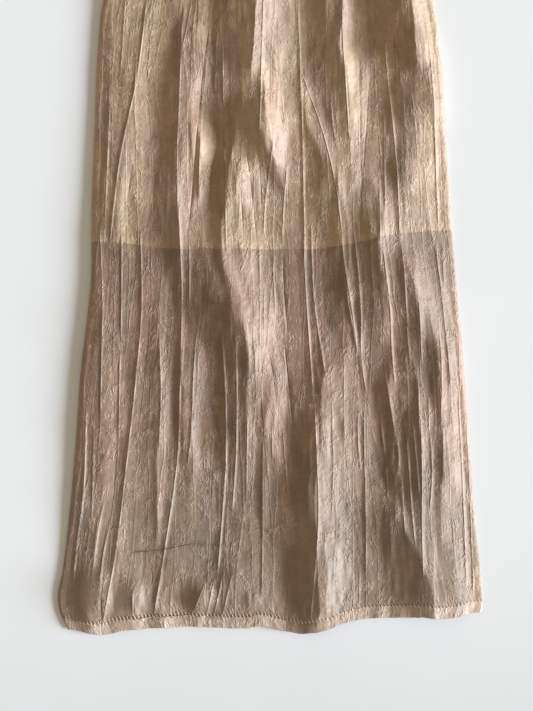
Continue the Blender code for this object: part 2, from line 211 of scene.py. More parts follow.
EDGE_HEIGHTS = (
    0.000, 0.015, 0.031, 0.046, 0.080, 0.159, 0.260, 0.339, 0.426,
    0.459, 0.538, 0.666, 0.764, 0.824, 0.870, 0.905, 0.940,
)
LEFT_EDGE = (
    0.2590, 0.2670, 0.2735, 0.2756, 0.2698, 0.2603, 0.2516, 0.2461, 0.2358,
    0.2327, 0.2322, 0.2275, 0.2232, 0.2163, 0.2030, 0.1880, 0.1830,
)
RIGHT_EDGE = (
    0.2660, 0.2705, 0.2748, 0.2756, 0.2738, 0.2659, 0.2587, 0.2522, 0.2450,
    0.2418, 0.2353, 0.2279, 0.2204, 0.2119, 0.2000, 0.1870, 0.1830,
)
HEM_LINE = (
    (-0.276, 0.0060), (-0.259, 0.0015), (-0.244, 0.0000), (-0.203, 0.0056), (-0.152, 0.0090),
    (-0.100, 0.0108), (-0.034, 0.0088), (-0.014, 0.0115), (0.018, 0.0048), (0.042, 0.0020), (0.068, 0.0045),
    (0.108, 0.0172), (0.159, 0.0228), (0.200, 0.0230), (0.239, 0.0222), (0.276, 0.0290),
)
LOFT_SHARE = (
    (0.000, 0.45), (0.014, 0.82), (0.032, 0.66), (0.060, 0.80),
    (0.110, 1.00), (0.780, 1.00), (0.860, 0.92), (0.905, 0.80),
)
LINING_LINE = (
    (-0.233, 0.5096), (-0.178, 0.5057), (-0.146, 0.5005), (-0.072, 0.4992), (0.013, 0.4992), (0.092, 0.5031),
    (0.117, 0.5083), (0.140, 0.5135), (0.169, 0.5187), (0.204, 0.5226), (0.228, 0.5239),
)


@dataclass(frozen=True)
class SkirtForm:
    """The outline, the hem's line and the large folds of the skirt as it lies: the form of its solids.

    The folds are calmed to hem_share at the hem and by band_calm at the waistband. edge_share is the loft's
    share at the side edge, edge_slope how far in it grows to the whole, full_edge where and over what length
    it is whole at the edge too, and the lift puffs up the left corner.
    """

    length: float = 0.940
    band_height: float = 0.035
    seam_height: float = 0.0024
    side_roll: float = 0.0100
    loft: float = 0.0085
    front_wall: float = 0.0013
    corner_lift: float = 0.0052
    lift_centre: Range = (-0.218, 0.050)
    lift_size: float = 0.045
    edge_share: float = 0.54
    edge_slope: float = 0.045
    full_edge: Range = (0.80, 0.06)
    hem_share: float = 0.50
    hem_reach: float = 0.075
    band_calm: float = 0.93
    band_calm_start: float = 0.845
    hem_span: float = 0.274
    left_edge: Line = Line(tuple(zip(EDGE_HEIGHTS, LEFT_EDGE)))
    right_edge: Line = Line(tuple(zip(EDGE_HEIGHTS, RIGHT_EDGE)))
    hem: Line = Line(HEM_LINE)
    lining_edge: Line = Line(LINING_LINE)
    loft_share: Line = Line(LOFT_SHARE)
    hem_ripples: tuple[Noise, ...] = (
        Noise(0.014, 1.0, (48.0, 2.5), 71, 0.0022),
        Noise(0.005, 1.0, (60.0, 4.5), 72, 0.0008),
    )
    folds: tuple[Fold, ...] = (
        Fold(200, 1010, (-242, -225, -213, -205, -198), 16, 40, 1.0, 2.6, 120, 0.45),
        Fold(430, 1010, (-118, -116, -114, -112, -104), 34, 30, 6.5, 8.5, 90, 0.6),
        Fold(690, 1010, (-84, -88, -91, -91, -90), 20, 16, 4.5, 5.5, 60, 0.6),
        Fold(600, 1010, (-10, -22, -24, -24, -20), 62, 58, 12.5, 15.0, 70, 0.7),
        Fold(600, 740, (78, 62, 46, 36, 34), 20, 24, 4.0, 3.0, 45, 0.5),
        Fold(560, 700, (22, 11, -5, -17, -22), 20, 40, 6.0, 5.0, 45, 0.7),
        Fold(190, 500, (-38, -30, -26, -36, -58), 62, 56, 10.0, 10.5, 85, 0.65),
        Fold(430, 710, (-42, -60, -57, -47, -28), 20, 54, 6.5, 7.0, 60, 0.7),
        Fold(350, 560, (-39, -55, -70, -84, -100), 66, 84, 11.0, 8.0, 50, 0.5),
        Fold(600, 1010, (107, 99, 91, 88, 88), 48, 30, 8.0, 12.0, 80, 0.6),
        Fold(360, 650, (101, 104, 100, 87, 67), 36, 80, 10.0, 7.0, 60, 0.65),
        Fold(360, 610, (140, 146, 144, 140, 135), 40, 60, 11.0, 8.0, 60, 0.6),
        Fold(715, 1010, (193, 184, 174, 164, 156), 54, 26, 12.0, 16.0, 60, 0.65),
        Fold(560, 740, (169, 173, 173, 172, 169), 26, 44, 4.0, 4.0, 50, 0.6),
        Fold(640, 810, (221, 218, 214, 208, 200), 44, 14, 7.0, 5.0, 50, 0.5),
        Fold(400, 640, (169, 172, 172, 172, 173), 26, 42, 3.0, 3.0, 50, 0.5),
        Fold(290, 500, (212, 216, 210, 187, 166), 44, 60, 10.0, 7.0, 55, 0.65),
        Fold(150, 370, (172, 166, 160, 157, 153), 24, 18, 6.0, 6.0, 60, 0.7),
        Fold(130, 360, (198, 197, 195, 191, 186), 30, 66, 9.0, 8.0, 60, 0.65),
        Fold(-60, 205, (229, 216, 204, 174, 140), 58, 66, 20.0, 12.0, 70, 0.6),
        Fold(-60, 390, (65, 64, 60, 63, 75), 58, 56, 22.0, 9.0, 95, 0.75),
        Fold(205, 420, (-113, -112, -113, -112, -112), 14, 17, 2.6, 3.4, 70, 0.6),
        Fold(70, 460, (-150, -145, -141, -141, -139), 22, 13, 2.6, 2.6, 90, 0.7),
        Fold(170, 420, (-104, -101, -100, -98, -97), 18, 14, 2.4, 2.4, 70, 0.7),
        Fold(120, 340, (-11, -8, -5, -4, -3), 13, 16, 2.4, 2.4, 70, 0.7),
        Fold(-30, 170, (-34, -36, -38, -40, -38), 44, 54, 6.0, 3.4, 60, 0.3),
        Fold(-40, 95, (-232, -234, -236, -240, -241), 22, 30, 3.4, 2.6, 60, 0.3),
        Fold(-40, 90, (-172, -172, -173, -172, -172), 38, 14, 6.0, 2.6, 50, 0.4),
        Fold(-40, 70, (-139, -139, -139, -138, -138), 26, 14, 4.5, 1.8, 45, 0.4),
        Fold(-40, 85, (-110, -104, -92, -84, -80), 24, 12, 3.6, 2.0, 45, 0.5),
        Fold(-40, 80, (-80, -76, -70, -62, -58), 14, 20, 2.4, 1.2, 45, 0.4),
        Fold(-40, 60, (-8, -6, -5, -4, -3), 22, 26, 2.8, 1.2, 40, 0.4),
    )
    sways: tuple[Sway, ...] = (
        Sway(0.45, 9.0, 0.9, 0.4),
        Sway(0.25, 16.0, -1.3, 2.1),
        Sway(0.14, 27.0, 1.7, 4.4),
    )

    @property
    def band_start(self) -> float:
        """Distance from the hem to the waistband."""
        return self.length - self.band_height

    def place(self, across: Array, from_hem: Array, height: Array) -> Array:
        """Stacks three grids into points of the frame, with the hem at -Y."""
        return np.stack(np.broadcast_arrays(across, from_hem - self.length / 2.0, height), axis=-1)

    def hem_line(self, across: Array) -> Array:
        """Distance of the hem's edge from its lowest point, with the ripples that the stitches pull in."""
        return self.hem.at(across) + sum(ripple.swing(across) for ripple in self.hem_ripples)

    def half_width(self, across: Array, from_hem: Array) -> Array:
        """Distance from the middle line to the side edge that lies on the same side as across."""
        return np.where(across < 0.0, self.left_edge.at(from_hem), self.right_edge.at(from_hem))

    def above_lining(self, across: Array, from_hem: Array) -> Array:
        """Distance above the line where the lining ends, in metres, negative below it."""
        return from_hem - self.lining_edge.at(across)

    def front_height(self, across: Array, from_hem: Array) -> Array:
        """Height of the front's smooth cloth: its loft, the slow waves, every fold and the corner's bell.

        Args:
            across: distance from the middle line, in metres.
            from_hem: distance from the hem's lowest point, in metres.

        Returns:
            Heights in metres.
        """
        folds = sum(fold.height(across, from_hem) for fold in self.folds)
        folds = folds + sum(sway.at(across, from_hem) for sway in self.sways)
        hem_calm = self.hem_share + (1.0 - self.hem_share) * smooth_step(from_hem / self.hem_reach)
        band_reach = self.band_start - self.band_calm_start
        band_calm = 1.0 - self.band_calm * smooth_step((from_hem - self.band_calm_start) / band_reach)
        bell = -(((across - self.lift_centre[0]) / self.lift_size) ** 2)
        bell = bell - ((from_hem - self.lift_centre[1]) / self.lift_size) ** 2
        inside = self.half_width(across, from_hem) - np.abs(across)
        full_edge = smooth_step((from_hem - self.full_edge[0]) / self.full_edge[1])
        crown = np.maximum(smooth_step(inside / self.edge_slope), full_edge)
        crown = self.edge_share + (1.0 - self.edge_share) * crown
        loft = self.loft * self.loft_share.at(from_hem) * crown
        return loft + folds * hem_calm * band_calm + self.corner_lift * np.exp(bell)

    def with_sides(self, grids: Sequence[Array], roll: float, columns: int) -> Sequence[Array]:
        """Adds rounded sides to a sheet: quarter ellipses from its edge columns to the side seams.

        Args:
            grids: across, from_hem, height and any more values of the sheet, each [row][column].
            roll: width of a rounded side, in metres.
            columns: number of columns of each side.

        Returns:
            The same grids with the sides' columns added.
        """
        angle = (np.arange(columns) / columns * (math.pi / 2.0))[None, :]
        for side in Side:
            left = side is Side.LEFT
            start, rows, high, *more = (grid[:, 0 if left else -1, None] for grid in grids)
            reach = start + side.value * roll * np.cos(angle)
            rise = self.seam_height + (high - self.seam_height) * np.sin(angle)
            added = [reach, rows + 0.0 * angle, rise, *(grid + 0.0 * angle for grid in more)]
            pairs = [(new, grid) if left else (grid, new[:, ::-1]) for new, grid in zip(added, grids)]
            grids = [np.concatenate(pair, axis=1) for pair in pairs]
        return grids


# ---- the pressed crinkle -----------------------------------------------------------------------------
@dataclass(frozen=True)
class Facets:
    """A pattern of long, narrow facets that fork and join like tree bark: the crinkle pressed into the cloth.

    across and along are the size of one mesh of the pattern and rise its height, in millimetres. up is True
    where a mesh has a crest along its middle, False where it has a furrow. lean is how far off the cloth's
    length its middle line leans, as a slope. least_split and its range set how uneven the two flanks are;
    furthest caps the distance, counted in meshes, and mean is its mean.
    """

    across: float
    along: float
    rise: float
    up: bool
    lean: float
    seed: int
    table_size: int = 128
    start: float = 3.0
    least_split: float = 0.30
    split_range: float = 0.40
    furthest: float = 1.4
    mean: float = 0.42

    def at(self, cloth: Array, from_hem: Array) -> Array:
        """Height of the pattern.

        Each mesh has a middle line at a random place, with a random lean and two random widths. Counted in
        widths across and lengths along, the height is the distance to the nearest middle line, so both the
        lines and the bounds half-way between them are creased, with flat flanks between.

        Args:
            cloth: distance across, along the cloth, in metres.
            from_hem: distance along, in metres.

        Returns:
            Heights in metres, with a mean near 0.
        """
        table = np.random.default_rng(self.seed).random((self.table_size, self.table_size, 4))
        x = cloth / (self.across * MM) + self.table_size / 2.0
        y = from_hem / (self.along * MM) + self.start
        column, row = np.floor(x).astype(int), np.floor(y).astype(int)
        nearest = np.full(x.shape, np.inf)
        for right in (-1, 0, 1):
            for up in (-1, 0, 1):
                drawn = table[(column + right) % self.table_size, (row + up) % self.table_size]
                away_along = y - row - up - drawn[..., 1]
                slope = (2.0 * drawn[..., 2] - 1.0) * self.lean * self.along / self.across
                away = x - column - right - drawn[..., 0] - slope * away_along
                split = self.least_split + self.split_range * drawn[..., 3]
                away = np.where(away < 0.0, away / (2.0 * split), away / (2.0 - 2.0 * split))
                nearest = np.minimum(nearest, away * away + away_along * away_along)
        height = (np.sqrt(np.minimum(nearest, self.furthest)) - self.mean) * self.rise * MM
        return -height if self.up else height


@dataclass(frozen=True)
class Pleats:
    """Many long creases with one steep and one wide, flat side, which part the cloth into smooth facets.

    Widths, rises and lengths are ranges in millimetres, and so are the bounds of their places along, the
    scatter of their places across and the bows of their two sines, whose waves are in radians a metre.
    """

    count: int
    steep: Range
    wide: Range
    rise: Range
    length: Range
    lean: float
    seed: int
    half_cloth: float = 250.0
    bounds: Range = (-60.0, 1000.0)
    scatter: float = 9.0
    waves: Range = (3.0, 14.0)
    bows: Range = (0.3, 1.2)
    crest_share: float = 0.6
    tip: float = 1.15
    fade_pace: float = 2.2

    def at(self, cloth: Array, from_hem: Array) -> Array:
        """Height of all the creases together.

        A crease is a tent across its line, (1 - s)^tip with s the distance as a share of the side's width,
        times its rise and a smooth fade at both ends. Its line leans and wanders by two sines.

        Args:
            cloth: distance across, along the cloth, in metres.
            from_hem: distance along, in metres.

        Returns:
            Heights in metres.
        """
        rng = np.random.default_rng(self.seed)
        total = np.zeros(cloth.shape)
        even = (np.arange(self.count) + 0.5) / self.count
        starts = (2.0 * even - 1.0) * self.half_cloth + rng.uniform(-self.scatter, self.scatter, self.count)
        order = rng.permutation(self.count)
        for number in range(self.count):
            length = rng.uniform(*self.length)
            middle = (order[number] + rng.random()) / self.count
            middle = self.bounds[0] + (self.bounds[1] - self.bounds[0]) * middle
            steep, wide = rng.uniform(*self.steep), rng.uniform(*self.wide)
            left, right = (steep, wide) if rng.random() < 0.5 else (wide, steep)
            rise = rng.uniform(*self.rise) * (1.0 if rng.random() < self.crest_share else -1.0)
            lean = rng.normal(0.0, self.lean)
            waves, starts_at = rng.uniform(*self.waves, 2), rng.uniform(0.0, 6.28, 2)
            away_along = from_hem / MM - middle
            line = starts[number] + lean * away_along
            for wave, start, bow in zip(waves, starts_at, rng.uniform(*self.bows, 2)):
                line = line + bow * np.sin(wave * from_hem + start)
            away = cloth / MM - line
            share = np.clip(1.0 - np.where(away < 0.0, -away / left, away / right), 0.0, 1.0)
            fade = smooth_step((1.0 - np.abs(away_along) / (length / 2.0)) * self.fade_pace)
            total += rise * MM * share**self.tip * fade
        return total


@dataclass(frozen=True)
class CalmPatch:
    """A smooth patch where the crinkle is pressed out: centre and half-sizes in millimetres, its share."""

    across: float
    from_hem: float
    half_across: float
    half_along: float
    share: float

    def at(self, across: Array, from_hem: Array) -> Array:
        """How much of the crinkle the patch takes away: share times a bell with flat middle."""
        x = (across / MM - self.across) / self.half_across
        y = (from_hem / MM - self.from_hem) / self.half_along
        return self.share * np.exp(-((x * x + y * y) ** 2))


@dataclass(frozen=True)
class Crease:
    """One placed crease, in millimetres.

    Its line runs from low to high above the hem's lowest point, at the distances in line from the middle
    line of the skirt, evenly spaced. left and right are the widths of its flat flanks, rise its height, below
    0 for a furrow, and fade the length over which it dies away at both ends.
    """

    low: float
    high: float
    line: tuple[float, ...]
    left: float
    right: float
    rise: float
    fade: float = 30.0

    def line_at(self, across: Array, from_hem: Array) -> tuple[Array, Array]:
        """Distance from the crease's line, positive to its right, and the line's rise, in millimetres."""
        stations = np.linspace(self.low, self.high, len(self.line)) * MM
        crest = Line(tuple(zip(stations, np.array(self.line) * MM))).at(from_hem)
        along = from_hem / MM
        fade = smooth_step((along - self.low) / self.fade) * smooth_step((self.high - along) / self.fade)
        return (across - crest) / MM, self.rise * fade

    def at(self, across: Array, from_hem: Array) -> Array:
        """Height in metres: rise times 1 - s, with s the distance as a share of the flank's width."""
        away, rise = self.line_at(across, from_hem)
        share = np.clip(1.0 - np.where(away < 0.0, -away / self.left, away / self.right), 0.0, 1.0)
        return MM * rise * share


@dataclass(frozen=True)
class CrossCrease:
    """A crease from folding the skirt away: its line across the cloth, its depth and fade, in millimetres."""

    line: tuple[tuple[float, float], ...]
    rise: float
    fade: float = 12.0

    def line_at(self, across: Array, from_hem: Array) -> tuple[Array, Array]:
        """Distance above the crease's line and the line's rise, in millimetres; it fades at its ends."""
        start, end = self.line[0][0], self.line[-1][0]
        fade = smooth_step((across / MM - start) / self.fade) * smooth_step((end - across / MM) / self.fade)
        return from_hem / MM - Line(self.line).at(across / MM), self.rise * fade


def nearest_line(
    creases: Sequence[Crease | CrossCrease],
    across: Array,
    from_hem: Array,
    reach: float,
    furthest: float = 20.0,
) -> Array:
    """For each point, the nearest crease's distance and rise, in millimetres.

    Args:
        creases: the creases to look at.
        across: distance from the middle line, in metres.
        from_hem: distance from the hem's lowest point, in metres.
        reach: the rise is 0 further off than this, so no false line shows half-way between two creases.
        furthest: the largest distance that is kept.

    Returns:
        [2][row][column]: the distance, with its sign, and the rise.
    """
    best = np.stack([np.full(across.shape, np.inf), np.zeros(across.shape)])
    for crease in creases:
        away, rise = crease.line_at(across, from_hem)
        closer = (np.abs(away) < np.abs(best[0])) & (np.abs(rise) > 0.0)
        best = np.where(closer, np.stack([away, rise]), best)
    best[1] = np.where(np.abs(best[0]) < reach, best[1], 0.0)
    best[0] = np.clip(best[0], -furthest, furthest)
    return best


def hand_placed(*rows: tuple) -> tuple[Crease, ...]:
    """Creases from rows of low, high, line, left, right, rise and, where it isn't the usual 30 mm, fade."""
    return tuple(Crease(*row) for row in rows)


UPPER_LEFT = hand_placed(
    (490, 700, (-216, -211, -207), 12, 11, 2.0, 60),
    (500, 835, (-208, -195, -172, -158), 3, 20, 2.2),
    (720, 840, (-194, -186), 3, 5, 0.9),
    (560, 615, (-185, -178), 4, 4, -0.6, 15),
    (500, 835, (-118, -120, -116, -112), 8, 16, 1.8, 40),
    (510, 800, (-107, -100, -94, -87, -77), 5, 3, -1.3, 40),
    (560, 720, (-93, -90, -87), 3, 17, 1.6, 40),
    (470, 780, (-56, -58, -60, -62), 14, 8, 2.6, 60),
    (690, 800, (-72, -70, -68), 4, 3, 1.0),
    (735, 830, (-118, -108, -100), 3, 5, 1.0),
    (505, 625, (-34, -38, -47), 3, 6, -1.0),
    (505, 640, (-17, -24, -33), 3, 6, -1.0),
    (540, 650, (-11, -13, -18), 3, 6, -0.9),
    (640, 835, (-14, -12, -10, -8), 2.5, 2.5, 1.0),
)
UPPER_RIGHT = hand_placed(
    (470, 835, (45, 43.5, 41.5, 38.5, 35), 4, 3, 1.6, 40),
    (300, 520, (56, 51, 46, 43), 9, 3, 2.4),
    (320, 540, (74, 65, 57, 54, 53), 4, 3, 1.3),
    (640, 820, (102, 98, 94, 92), 10, 12, 2.0),
    (510, 740, (93, 89, 83, 75, 64, 50, 36), 22, 12, 2.6),
    (625, 710, (87, 80, 77), 2.5, 3, 1.0),
    (500, 760, (115, 117, 116, 116), 3, 3, -0.8),
    (560, 720, (116, 121, 125, 128), 12, 10, -1.6),
    (500, 790, (166.5, 165, 160, 152, 146), 7, 4, 1.8),
    (500, 680, (148, 148, 147), 3, 3, 0.9),
    (470, 600, (142, 141, 141), 9, 4, 1.6),
    (520, 835, (218, 215, 211, 205, 196), 3, 3, 1.1),
    (510, 720, (-9, -6, 1, 8, 11), 3, 3, 1.0),
    (500, 625, (15, 18, 24), 4, 4, 1.1),
)
MIDDLE_LEFT = hand_placed(
    (365, 540, (-217, -217, -221), 13, 8, 1.8),
    (375, 530, (-193, -192, -192), 3, 17, 2.0),
    (0, 530, (-219, -200, -187, -175, -166, -168), 5, 10, 2.0, 20),
    (265, 440, (-219, -218, -216), 3, 17, 1.9),
    (250, 375, (-196, -195, -194), 3, 10, 1.5),
    (10, 560, (-153, -135, -120, -116, -114, -118), 10, 4, 2.2),
    (400, 510, (-104, -104, -104), 8, 5, 1.5),
    (235, 395, (-144, -141, -143), 4, 8, 1.4),
    (215, 400, (-107, -101, -99, -94), 4, 9, 1.6),
    (70, 400, (-69, -62, -57, -58, -63), 8, 3, 2.4),
    (150, 400, (-50, -44, -43, -45), 9, 3, 2.0),
    (335, 440, (-45, -50, -54), 3, 3, 0.9),
    (165, 290, (-31, -30, -29), 8, 10, 1.8),
    (360, 460, (-8, -8, -7), 4, 3, 1.3),
    (330, 520, (-14, -13, -13, -15), 3, 3, 0.9),
)
MIDDLE_RIGHT = hand_placed(
    (400, 500, (8, 5, 3), 3, 3, 0.9),
    (300, 380, (8, 3, -5), 3, 4, -1.0),
    (385, 500, (23, 18, 16), 3, 4, -1.0),
    (250, 390, (31, 24, 17), 12, 5, -1.5),
    (350, 530, (114, 109, 102, 95, 91), 8, 4, 2.2),
    (300, 530, (126, 118, 117, 113, 106), 5, 4, 1.7),
    (370, 450, (111, 104, 96), 3, 6, 1.5, 20),
    (320, 520, (161, 157, 154, 148, 143), 12, 3, 2.4),
    (340, 450, (196, 193, 189), 18, 6, 3.0),
    (340, 520, (181, 176, 172, 168), 4, 3, 1.2),
    (290, 420, (222, 220, 216), 22, 5, 1.6),
    (320, 520, (233, 227, 220, 213), 4, 4, 1.2),
    (440, 520, (226, 224, 223), 4, 3, 1.0),
    (295, 360, (237, 235, 235), 3, 4, -1.2, 15),
    (255, 335, (192, 191, 191), 7, 3, 1.8, 20),
    (255, 350, (162, 154, 147), 5, 3, 1.4),
    (255, 320, (204, 204), 3, 5, 1.2, 20),
    (270, 320, (220, 220), 7, 3, 1.4, 15),
)
LOWER_LEFT = hand_placed(
    (60, 300, (-256, -250, -242, -239, -238), 6, 3, 1.7),
    (165, 205, (-246, -234), 2.5, 3, 1.0, 12),
    (150, 270, (-231, -229, -228), 3, 3, 0.8),
    (70, 180, (-231, -224, -214), 3, 4, 1.1),
    (60, 160, (-221, -215, -204), 3, 4, 1.2),
    (90, 160, (-231, -226, -221), 3, 3, 0.9, 20),
    (-5, 90, (-218, -218, -215), 3, 3, -1.3, 20),
    (10, 65, (-178, -177), 4, 8, 1.6, 15),
    (18, 70, (-106, -94, -84), 5, 7, 1.6, 14),
    (15, 75, (-84, -72), 4, 3, 1.2, 15),
    (15, 80, (-75, -61), 3, 4, 1.3, 15),
    (15, 85, (-64, -48), 3, 4, 1.0, 15),
    (40, 260, (-11, -10, -10, -9), 3, 9, 1.6),
    (220, 275, (3, 2), 3, 3, 1.0, 15),
    (180, 280, (22, 19, 15), 4, 9, 1.4),
)
LOWER_RIGHT = hand_placed(
    (10, 300, (51, 57, 62, 60, 57), 6, 4, 2.0),
    (140, 300, (79, 81, 80), 3, 3, 0.9),
    (200, 290, (95, 95), 3, 3, 0.6),
    (70, 300, (124, 123.5, 122, 121), 4, 8, 1.9),
    (200, 290, (119, 114, 113), 3, 3, 1.2),
    (30, 100, (115, 116), 6, 4, 1.4),
    (175, 290, (153, 150, 146, 141), 3, 4, 1.5),
    (155, 203, (172, 134), 5, 5, 1.4, 8),
    (205, 260, (164, 166, 163), 4, 2.5, 1.2, 15),
    (125, 210, (174, 171, 169), 3, 3, 1.2, 20),
    (110, 280, (187, 182, 178, 173), 5, 3, 1.6),
    (170, 285, (192, 188, 182), 5, 3, 1.5),
    (70, 290, (197, 195, 195, 193), 10, 4, 2.4),
    (150, 270, (204, 208, 205), 3, 4, 1.2),
    (165, 280, (221, 222, 223), 3, 3, 0.8),
    (60, 330, (254, 251, 247, 243), 3, 4, 1.2),
    (40, 280, (264, 261, 258, 254), 3, 3, 1.0),
)
PLACED = UPPER_LEFT + UPPER_RIGHT + MIDDLE_LEFT + MIDDLE_RIGHT + LOWER_LEFT + LOWER_RIGHT
BROAD = hand_placed(
    (100, 900, (-256, -244, -232, -226, -218, -194), 8, 45, 2.0, 80),
    (500, 860, (-160, -150, -142, -124, -103), 42, 28, -3.2, 40),
    (495, 850, (-200, -186, -170, -148), 20, 40, 2.6, 40),
    (600, 815, (-101, -101, -99, -97), 22, 18, 4.5, 40),
    (705, 900, (-28, -19, -16), 74, 18, 10.0, 30),
    (530, 700, (-67, -65), 26, 14, -4.0, 30),
    (545, 690, (-93, -91), 14, 22, 5.0, 30),
    (545, 620, (-42, -40), 22, 16, 6.5, 22),
    (596, 700, (8, 0, -8), 38, 16, 9.0, 22),
    (620, 900, (-4, -8, -10, -12), 14, 54, 5.5, 40),
    (690, 900, (98, 92, 88), 50, 16, 5.0, 40),
    (640, 900, (212, 206, 196, 184, 172), 68, 22, 9.0, 40),
    (740, 900, (104, 104), 12, 60, -7.0, 30),
    (580, 790, (212, 214, 214, 210, 203), 44, 14, 5.0, 50),
    (430, 560, (142, 141, 141), 34, 20, 5.4, 25),
    (520, 600, (64, 66), 20, 12, 2.6, 25),
    (330, 440, (-25, -27, -38), 26, 18, 6.0, 25),
    (390, 520, (-38, -55, -72), 78, 16, 5.0, 35),
    (200, 345, (6, 8), 42, 14, 4.2, 35),
    (250, 345, (-70, -70), 20, 20, -2.5, 30),
    (372, 500, (198, 186, 170), 40, 26, 7.5, 30),
    (180, 340, (226, 222, 218), 34, 16, 4.0, 40),
    (365, 450, (106, 106), 26, 16, -3.5, 30),
    (285, 365, (205, 207), 34, 24, -4.0, 30),
    (140, 400, (180, 178, 176, 172), 22, 28, 4.5, 40),
    (170, 310, (150, 150), 40, 28, -3.5, 40),
    (170, 400, (240, 236, 231), 22, 12, 4.2, 40),
    (95, 220, (222, 218), 50, 14, 5.0, 40),
    (140, 300, (51, 49, 50), 20, 26, 4.5, 40),
    (-10, 130, (17, 17), 14, 46, -4.0, 30),
    (10, 140, (76, 75, 70), 16, 20, 4.5, 30),
    (20, 165, (-213, -205, -194), 9, 44, 0.9, 30),
    (20, 135, (-151, -140, -128), 7, 46, 2.0, 30),
    (-30, 170, (-34, -38, -38), 44, 50, -3.2, 60),
    (14, 84, (-94, -92), 18, 60, 4.0, 22),
    (14, 110, (-52, -48), 36, 66, 4.0, 26),
    (20, 260, (240, 232), 22, 34, 3.2, 40),
    (18, 95, (-216, -218), 34, 14, 5.6, 25),
    (18, 80, (-174, -176), 32, 32, 5.0, 20),
    (25, 65, (-82, -84), 30, 16, 4.2, 15),
    (22, 60, (-23, -26), 30, 16, 3.8, 15),
)
STORAGE_CREASES = (
    CrossCrease(((-184.0, 108.0), (-150.0, 110.0), (-128.0, 114.0), (-106.0, 118.0), (-60.0, 116.0)), -2.0),
    CrossCrease(((-185.0, 797.0), (-160.0, 794.0), (-132.0, 788.0)), -0.8),
    CrossCrease(((-182.0, 654.0), (-165.0, 651.0), (-150.0, 652.0)), -0.7),
    CrossCrease(((-88.0, 431.0), (-72.0, 429.0), (-54.0, 430.0)), -0.9),
    CrossCrease(((-44.0, 143.0), (-26.0, 137.0), (-6.0, 143.0)), -0.9),
)


@dataclass(frozen=True)
class Crinkle:
    """All the fine relief of the crinkled cloth, laid over the large folds.

    wander moves the creases' lines and is laid out in shares of the skirt's half-width, ragged pushes the
    broad creases' bounds aside, patchy and the calm patches vary its strength, and dye says where the cloth
    is raised.
    """

    placed: tuple[Crease, ...] = PLACED
    broad: tuple[Crease, ...] = BROAD
    stored: tuple[CrossCrease, ...] = STORAGE_CREASES
    placed_share: float = 0.62
    facets: tuple[Facets, ...] = (
        Facets(16.0, 150.0, 0.42, True, 0.02, 11),
        Facets(7.0, 60.0, 0.20, False, 0.06, 12),
    )
    pleats: Pleats = Pleats(36, (1.8, 2.8), (5.0, 12.0), (0.25, 0.6), (60.0, 260.0), 0.03, 22)
    patches: tuple[CalmPatch, ...] = (
        CalmPatch(-245.0, 50.0, 24.0, 34.0, 0.85),
        CalmPatch(-194.0, 46.0, 15.0, 26.0, 0.85),
        CalmPatch(-159.0, 33.0, 9.0, 14.0, 0.80),
        CalmPatch(-107.0, 44.0, 13.0, 17.0, 0.80),
        CalmPatch(47.0, 110.0, 18.0, 160.0, 0.75),
        CalmPatch(170.0, 85.0, 24.0, 60.0, 0.75),
        CalmPatch(-38.0, 420.0, 22.0, 50.0, 0.45),
        CalmPatch(-45.0, 690.0, 18.0, 90.0, 0.55),
    )
    calmest: float = 0.92
    patchy: Noise = Noise(0.035, 0.13, (12.0, 4.0), 33)
    patchy_range: Range = (0.62, 0.75)
    half_cloth: float = 0.25
    wander: tuple[Noise, ...] = (
        Noise(1 / 6, 1 / 7, (20.0, 3.0), 31, 0.010),
        Noise(1 / 19, 1 / 21, (40.0, 5.0), 32, 0.0035),
        Noise(1 / 110, 1 / 34, (70.0, 9.0), 34, 0.0022),
    )
    ragged: tuple[Noise, ...] = (
        Noise(0.014, 0.045, (30.0, 5.0), 36, 0.0075),
        Noise(0.006, 0.016, (50.0, 9.0), 37, 0.0035),
    )
    ragged_half_width: float = 0.205
    ragged_fade: float = 0.03
    dye_size: Range = (0.011, 0.09)
    dye_range: Range = (0.32, 0.36)

    def cloth_across(self, form: SkirtForm, across: Array, from_hem: Array) -> Array:
        """Distance across as if the skirt were 0.5 m wide all along, with the lines' slow wander added."""
        share = across / form.half_width(across, from_hem)
        return self.half_cloth * share + sum(noise.swing(share, from_hem) for noise in self.wander)

    def strength(self, across: Array, from_hem: Array) -> Array:
        """How strong the crinkle is, from 0 to about 1.4: patchy, and low in the calm patches."""
        patchy = self.patchy_range[0] + self.patchy_range[1] * self.patchy.at(across, from_hem)
        calm = sum(patch.at(across, from_hem) for patch in self.patches)
        return patchy * (1.0 - np.clip(calm, 0.0, self.calmest))

    def raised(self, cloth: Array, from_hem: Array, seed: int) -> Array:
        """Where the cloth lies raised and so looks pinker: slow noise in long streaks, from 0 to 1."""
        streaks = Noise(*self.dye_size, (30.0, 7.0), seed).at(cloth, from_hem)
        return smooth_step((streaks - self.dye_range[0]) / self.dye_range[1])

    def raggedness(self, across: Array, from_hem: Array) -> Array:
        """How far the large folds' bounds are pushed aside, in metres: noises that fade out at the sides."""
        inside = smooth_step((self.ragged_half_width - np.abs(across)) / self.ragged_fade)
        return sum(noise.swing(across, from_hem) for noise in self.ragged) * inside

    def broad_at(self, across: Array, from_hem: Array) -> Array:
        """Height of the broad creases alone, in metres, with their bounds pushed aside."""
        beside = across + self.raggedness(across, from_hem)
        return sum(crease.at(beside, from_hem) for crease in self.broad)

    def at(self, form: SkirtForm, across: Array, from_hem: Array) -> Array:
        """Height of the crinkle above the smooth cloth, in metres."""
        cloth = self.cloth_across(form, across, from_hem)
        total = sum(facets.at(cloth, from_hem) for facets in self.facets) + self.pleats.at(cloth, from_hem)
        total = total * self.strength(across, from_hem)
        total = total + self.placed_share * sum(crease.at(across, from_hem) for crease in self.placed)
        return total + self.broad_at(across, from_hem)


